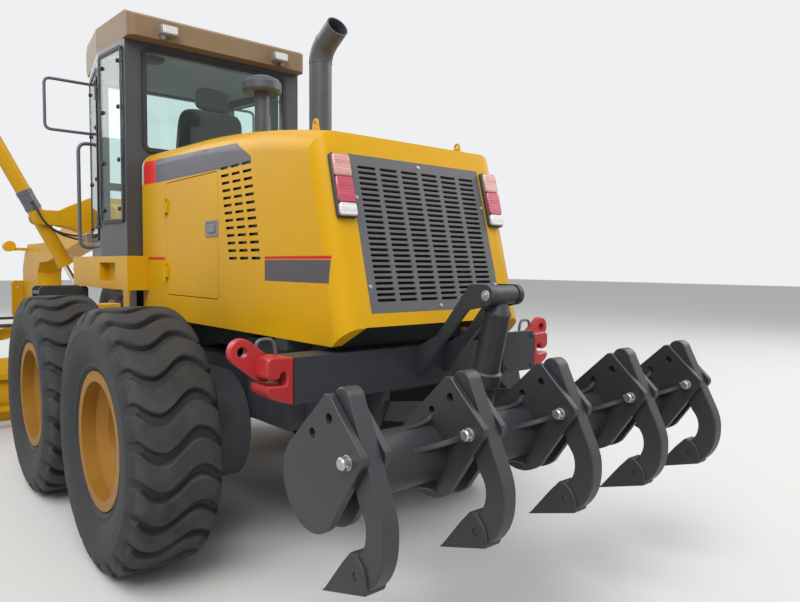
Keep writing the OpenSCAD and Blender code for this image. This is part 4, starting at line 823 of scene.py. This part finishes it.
add_piece("ripper_plates", plates, ripper_black, "ripper", ("ripper_frame",), 30)
add_piece("ripper_ribs", ribs, ripper_black, "ripper", ("ripper_frame",), 30)
add_piece("ripper_pins", pins, zinc, "ripper", ("ripper_frame",))

# Shanks and teeth: five flame-cut C-shaped shanks, each with a wedge-shaped cast tooth pushed
# over its point and pinned.
shank_outline = np.concatenate([
    arc_points(spot(-2630, 1150), 0.046, 22, 168, 14),
    through([spot(*point) for point in [
        (-2820, 866), (-2834, 822), (-2838, 772), (-2832, 716), (-2812, 664), (-2778, 620), (-2738, 596),
        (-2690, 584)]], 5),
    through([spot(*point) for point in [
        (-2652, 598), (-2660, 648), (-2702, 690), (-2736, 728), (-2749, 772), (-2742, 818),
        (-2712, 862)]], 5)])
tooth_outline = np.concatenate([
    [spot(-2538, 528), spot(-2546, 540), spot(-2640, 655)],
    arc_points(spot(-2694, 690), 0.016, 55, 110, 4),
    through([spot(*point) for point in [(-2718, 701), (-2748, 676), (-2764, 640), (-2766, 606)]], 4),
    [spot(-2758, 594)]])
shanks, teeth, tooth_pins = [], [], []
for y in shank_places:
    shanks += cut_plate(shank_outline, y - 0.031, y + 0.031, 0.005)
    teeth += cut_plate(tooth_outline, y - 0.040, y + 0.040, 0.004, [(spot(-2714, 640), 0.0125)])
    tooth_pins.append(turned_part((spot(-2714, 640)[0], y - 0.037, spot(-2714, 640)[1]), (0, 1, 0),
                                  [(0, 0.010), (0.002, 0.012), (0.072, 0.012), (0.074, 0.010)], 20))
add_piece("ripper_shank_blades", shanks, ripper_black, "ripper", ("ripper_shanks",), 30)
tooth_black = coated("tooth_black", (0.021, 0.021, 0.022), gloss=0.50, dust=0.06, dust_top=0.9, grain=0.002)
add_piece("ripper_teeth", teeth, tooth_black, "ripper", ("ripper_shanks",), 30)
add_piece("ripper_tooth_pins", tooth_pins, console_black, "ripper", ("ripper_shanks",))

# Base under the cab and the front half: welded plate in the same yellow; the working gear
# below it is dark grey, with chromed cylinder rods.
body_yellow = coated("body_yellow", yellow_paint, gloss=0.30, dust=0.03, drift=0.06, coat=0.05, sheen=0.2)
finish_nodes(body_yellow, "platform", "front_frame", "lift_saddle", "drawbar", "moldboard",
             "lift_barrel_left", "lift_barrel_right", "front_axle", "lean_left", "lean_right")
machine_grey = coated("machine_grey", (0.030, 0.032, 0.036), gloss=0.38, dust=0.08, dust_top=1.3, sheen=0.45)
finish_nodes(machine_grey, "engine", "circle", "circle_arms", "blade_carrier", "ripper_link_lower",
             "ripper_link_upper", "ripper_frame", "ripper_shanks", "ripper_barrel", "knuckle_left",
             "knuckle_right", "tie_rod", "lean_bar", "drawbar_swivel")
stack_grey = coated("stack_grey", (0.055, 0.057, 0.066), gloss=0.32, dust=0.06, dust_top=5, sheen=0.5)
finish_nodes(stack_grey, "stacks")
chrome, tree = node_tree("rod_chrome")
put_out(tree, add_node(tree, "BsdfPrincipled", Base_Color=(0.75, 0.76, 0.78, 1), Metallic=1, Roughness=0.14))
finish_nodes(chrome, "lift_rod_left", "lift_rod_right", "ripper_rod")

# Tow ends: a red block welded to each end of the rear beam, cut with a hook-shaped notch, and
# a lug with a hole beside it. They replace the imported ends, which have no notch.
def facing_back(parts):
    """Turns parts drawn in (x, z) to stand across the machine: their x becomes y."""
    return [(points[:, [1, 0, 2]], faces) for points, faces in parts]


hook_place = (0.977, 1.206)
hook_from = -1800
tow_outline = [
    (790.4, 982), (860, 1002), (900, 1026), (913, 1040), (917, 1056), (914, 1070), (842, 1066), (828, 1070),
    (822, 1084), (822, 1108), (828, 1120), (840, 1124), (850, 1118), (856, 1100), (868, 1092), (888, 1092),
    (908, 1100), (917, 1112), (917, 1164), (912, 1178), (900, 1186), (884, 1188), (790.4, 1180)]
for hand, s in hands:
    outline = np.array(tow_outline) / 1000 * (s, 1)
    block = facing_back(cut_plate(outline[::s], ahead(-1896), ahead(-1746), 0.007))
    foot = np.array((s * 0.880, 1.130))
    eye = np.array((s * hook_place[0], hook_place[1]))
    lean = math.degrees(math.atan2(*(foot - eye)[::-1]))
    lug = np.concatenate([arc_points(foot, 0.056, lean - 90, lean + 90, 10),
                          arc_points(eye, 0.056, lean + 90, lean + 270, 18)])
    block += facing_back(cut_plate(lug, ahead(hook_from), ahead(hook_from + 40), 0.005, [(eye, 0.024)]))
    add_piece(f"tow_end_{hand}", block, tow_red, "machine", ("beam_ends",), 30)
    handle = bent_path([(ahead(-1770), s * 0.806, 1.176), (ahead(-1770), s * 0.816, 1.250),
                        (ahead(-1770), s * 0.900, 1.250), (ahead(-1770), s * 0.900, 1.176)], 0.035)
    add_piece(f"tow_handle_{hand}", [tube_part(handle, 0.008)], rail_grey, "machine")

# Lifting eyes: two small yellow plates with a hole, bolted near the back of the hood's top.
eye_outline = np.concatenate([[(-0.030, -0.010), (0.030, -0.010)],
                              arc_points((0, 0.032), 0.021, -10, 190, 12)]) + spot(-1572, 2209)
for hand, s in hands:
    eye_plate = cut_plate(eye_outline, s * 0.475 - 0.006, s * 0.475 + 0.006, 0.002,
                          [(spot(-1572, 2241), 0.011)])
    add_piece(f"lifting_eye_{hand}", eye_plate, body_yellow, "machine")

# Cover plate: a black plate with four bolts on the right half of the rear beam's face.
cover = [back_plate(0.262, 0.222, 0.020, (ahead(-1896) + 0.001, -0.642, 1.096), 0.014, 0.003)]
for y, z in ((-0.535, 1.180), (-0.749, 1.180), (-0.535, 1.012), (-0.749, 1.012)):
    cover += bolt_part((ahead(-1896) - 0.013, y, z), (-1, 0, 0), 0.017, 0.010)
add_piece("beam_cover", cover, frame_black, "machine")

# Ripper cylinder: forged eye, barrel with a weld bead, gland collar and screwed head, and a
# steel oil line clipped along it between its two ports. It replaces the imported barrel.
mast_eye = np.array((ahead(-2330), 0, 1.440))
rod_eye = np.array((ahead(-2150), 0, 0.671))
cylinder_down = (rod_eye - mast_eye) / np.linalg.norm(rod_eye - mast_eye)
barrel = [turned_part(mast_eye, cylinder_down, [
    (0.030, 0.034), (0.050, 0.047), (0.066, 0.056), (0.074, 0.0600), (0.079, 0.0625), (0.086, 0.0625),
    (0.091, 0.0600), (0.352, 0.0600), (0.356, 0.0680), (0.361, 0.0718), (0.417, 0.0718), (0.423, 0.0680),
    (0.427, 0.0600), (0.596, 0.0600), (0.600, 0.0640), (0.604, 0.0660), (0.642, 0.0660), (0.648, 0.0620),
    (0.650, 0.0500)], 48)]
barrel += [turned_part(mast_eye - (0, 0.076, 0), (0, 1, 0), [
    (0, 0.038), (0.003, 0.042), (0.149, 0.042), (0.152, 0.038)], 40)]
port_out = np.cross(cylinder_down, (0, 1, 0)) * 0.45 + np.array((0, -0.89, 0))
port_out /= np.linalg.norm(port_out)
for along in (0.130, 0.572):
    barrel.append(turned_part(mast_eye + cylinder_down * along + port_out * 0.050, port_out, [
        (0, 0.020), (0.022, 0.020), (0.024, 0.017), (0.036, 0.017), (0.038, 0.012)], 6))
add_piece("ripper_cylinder_barrel", barrel, machine_grey, "ripper_cylinder",
          ("ripper_barrel",), 30)
line_top = mast_eye + cylinder_down * 0.130 + port_out * 0.086
line_end = mast_eye + cylinder_down * 0.572 + port_out * 0.086
oil_line = bent_path([line_end - port_out * 0.010, line_end + port_out * 0.012,
                      line_top + port_out * 0.012 + cylinder_down * 0.04, line_top - port_out * 0.010], 0.016)
pin_ends = [tube_part(oil_line, 0.0065, 10)]
pin_ends += [turned_part(mast_eye - (0, 0.105, 0), (0, 1, 0), [
    (0, 0.022), (0.003, 0.026), (0.207, 0.026), (0.210, 0.022)], 32)]
for way in (-1, 1):
    pin_ends += bolt_part(mast_eye + (0, way * 0.104, 0), (0, way, 0), 0.019, 0.009)
add_piece("ripper_cylinder_fittings", pin_ends, zinc, "ripper_cylinder", ("ripper_barrel",))

# Lift cylinders: the barrels are packed; each gets a grey clamped sleeve with two ports above
# its trunnions, and two hoses that sag back to a fitting on the saddle.
hose_rubber = coated("hose_rubber", (0.014, 0.014, 0.015), gloss=0.45, dust=0.06, dust_top=3, sheen=0.4)
hose_across = 0.019
# The sleeve's section, inside face to inside face: distance up from its foot, and radius.
barrel_skin = 0.0675
sleeve = np.array([
    (0, barrel_skin), (0, 0.0690), (0.004, 0.0745), (0.042, 0.0745), (0.046, 0.0715), (0.156, 0.0715),
    (0.160, 0.0745), (0.198, 0.0745), (0.202, 0.0690), (0.202, barrel_skin)])
sleeve_turn = np.arange(40)[:, None] * 2 * math.pi / 40
# Hose routes, in mm ahead of the tandem pivots, out from the middle and above the ground.
hose_routes = [
    [(2900, 778, 2104), (2870, 778, 2103), (2830, 777, 2092), (2798, 772, 2064), (2783, 758, 2022),
     (2782, 730, 1970), (2790, 685, 1922), (2800, 625, 1882), (2812, 555, 1856), (2826, 480, 1842),
     (2836, 420, 1837), (2840, 380, 1836)],
    [(2900, 805, 2157), (2866, 806, 2155), (2820, 806, 2142), (2782, 800, 2108), (2762, 786, 2060),
     (2756, 756, 1998), (2762, 708, 1935), (2774, 645, 1882), (2788, 570, 1842), (2806, 490, 1818),
     (2824, 425, 1804), (2836, 380, 1800)]]
for hand, s in hands:
    trunnion = np.array((ahead(3000), s * 0.730, 2.010))
    lean = math.atan2(0.730 - 0.230, 2.010 - 1.035)
    upward = np.array((0, s * math.sin(lean), math.cos(lean)))
    ring = np.cos(sleeve_turn) * (1, 0, 0) + np.sin(sleeve_turn) * np.cross(upward, (1, 0, 0))
    skin = trunnion + (0.085 + sleeve[:, :1, None]) * upward + sleeve[:, 1:, None] * ring
    parts = [grid_part(skin, True, True)]
    for along in (0.106, 0.165):
        parts.append(turned_part(trunnion + upward * along - (0.066, 0, 0), (-1, 0, 0), [
            (0, 0.017), (0.020, 0.017), (0.022, 0.014), (0.034, 0.014), (0.036, 0.011)], 6))
    add_piece(f"lift_sleeve_{hand}", parts, rail_grey, f"barrel_{hand}")
    bracket = [back_plate(0.070, 0.120, 0.008, (ahead(2880) - 0.0005, s * 0.318, 1.846), 0.010, 0.002)]
    manifold = [back_plate(0.062, 0.092, 0.008, (ahead(2880) - 0.010, s * 0.318, 1.820), 0.058, 0.004)]
    for k, route in enumerate(hose_routes):
        route = through([(ahead(x), s * y / 1000, z / 1000) for x, y, z in route], 5)
        length = float(np.linalg.norm(np.diff(route, axis=0), axis=1).sum())
        hose = add_piece(f"lift_hose_{hand}_{k}", [tube_part(route, hose_across / 2, 14)], hose_rubber,
                         "front_half")
        manifold.append(turned_part(route[-1] - (0, s * 0.034, 0), (0, s, 0), [
            (0, 0.016), (0.014, 0.016), (0.016, 0.013), (0.044, 0.013), (0.046, 0.0105)], 6))
    add_piece(f"hose_bracket_{hand}", bracket, body_yellow, "front_half")
    add_piece(f"hose_manifold_{hand}", manifold, zinc, "front_half")
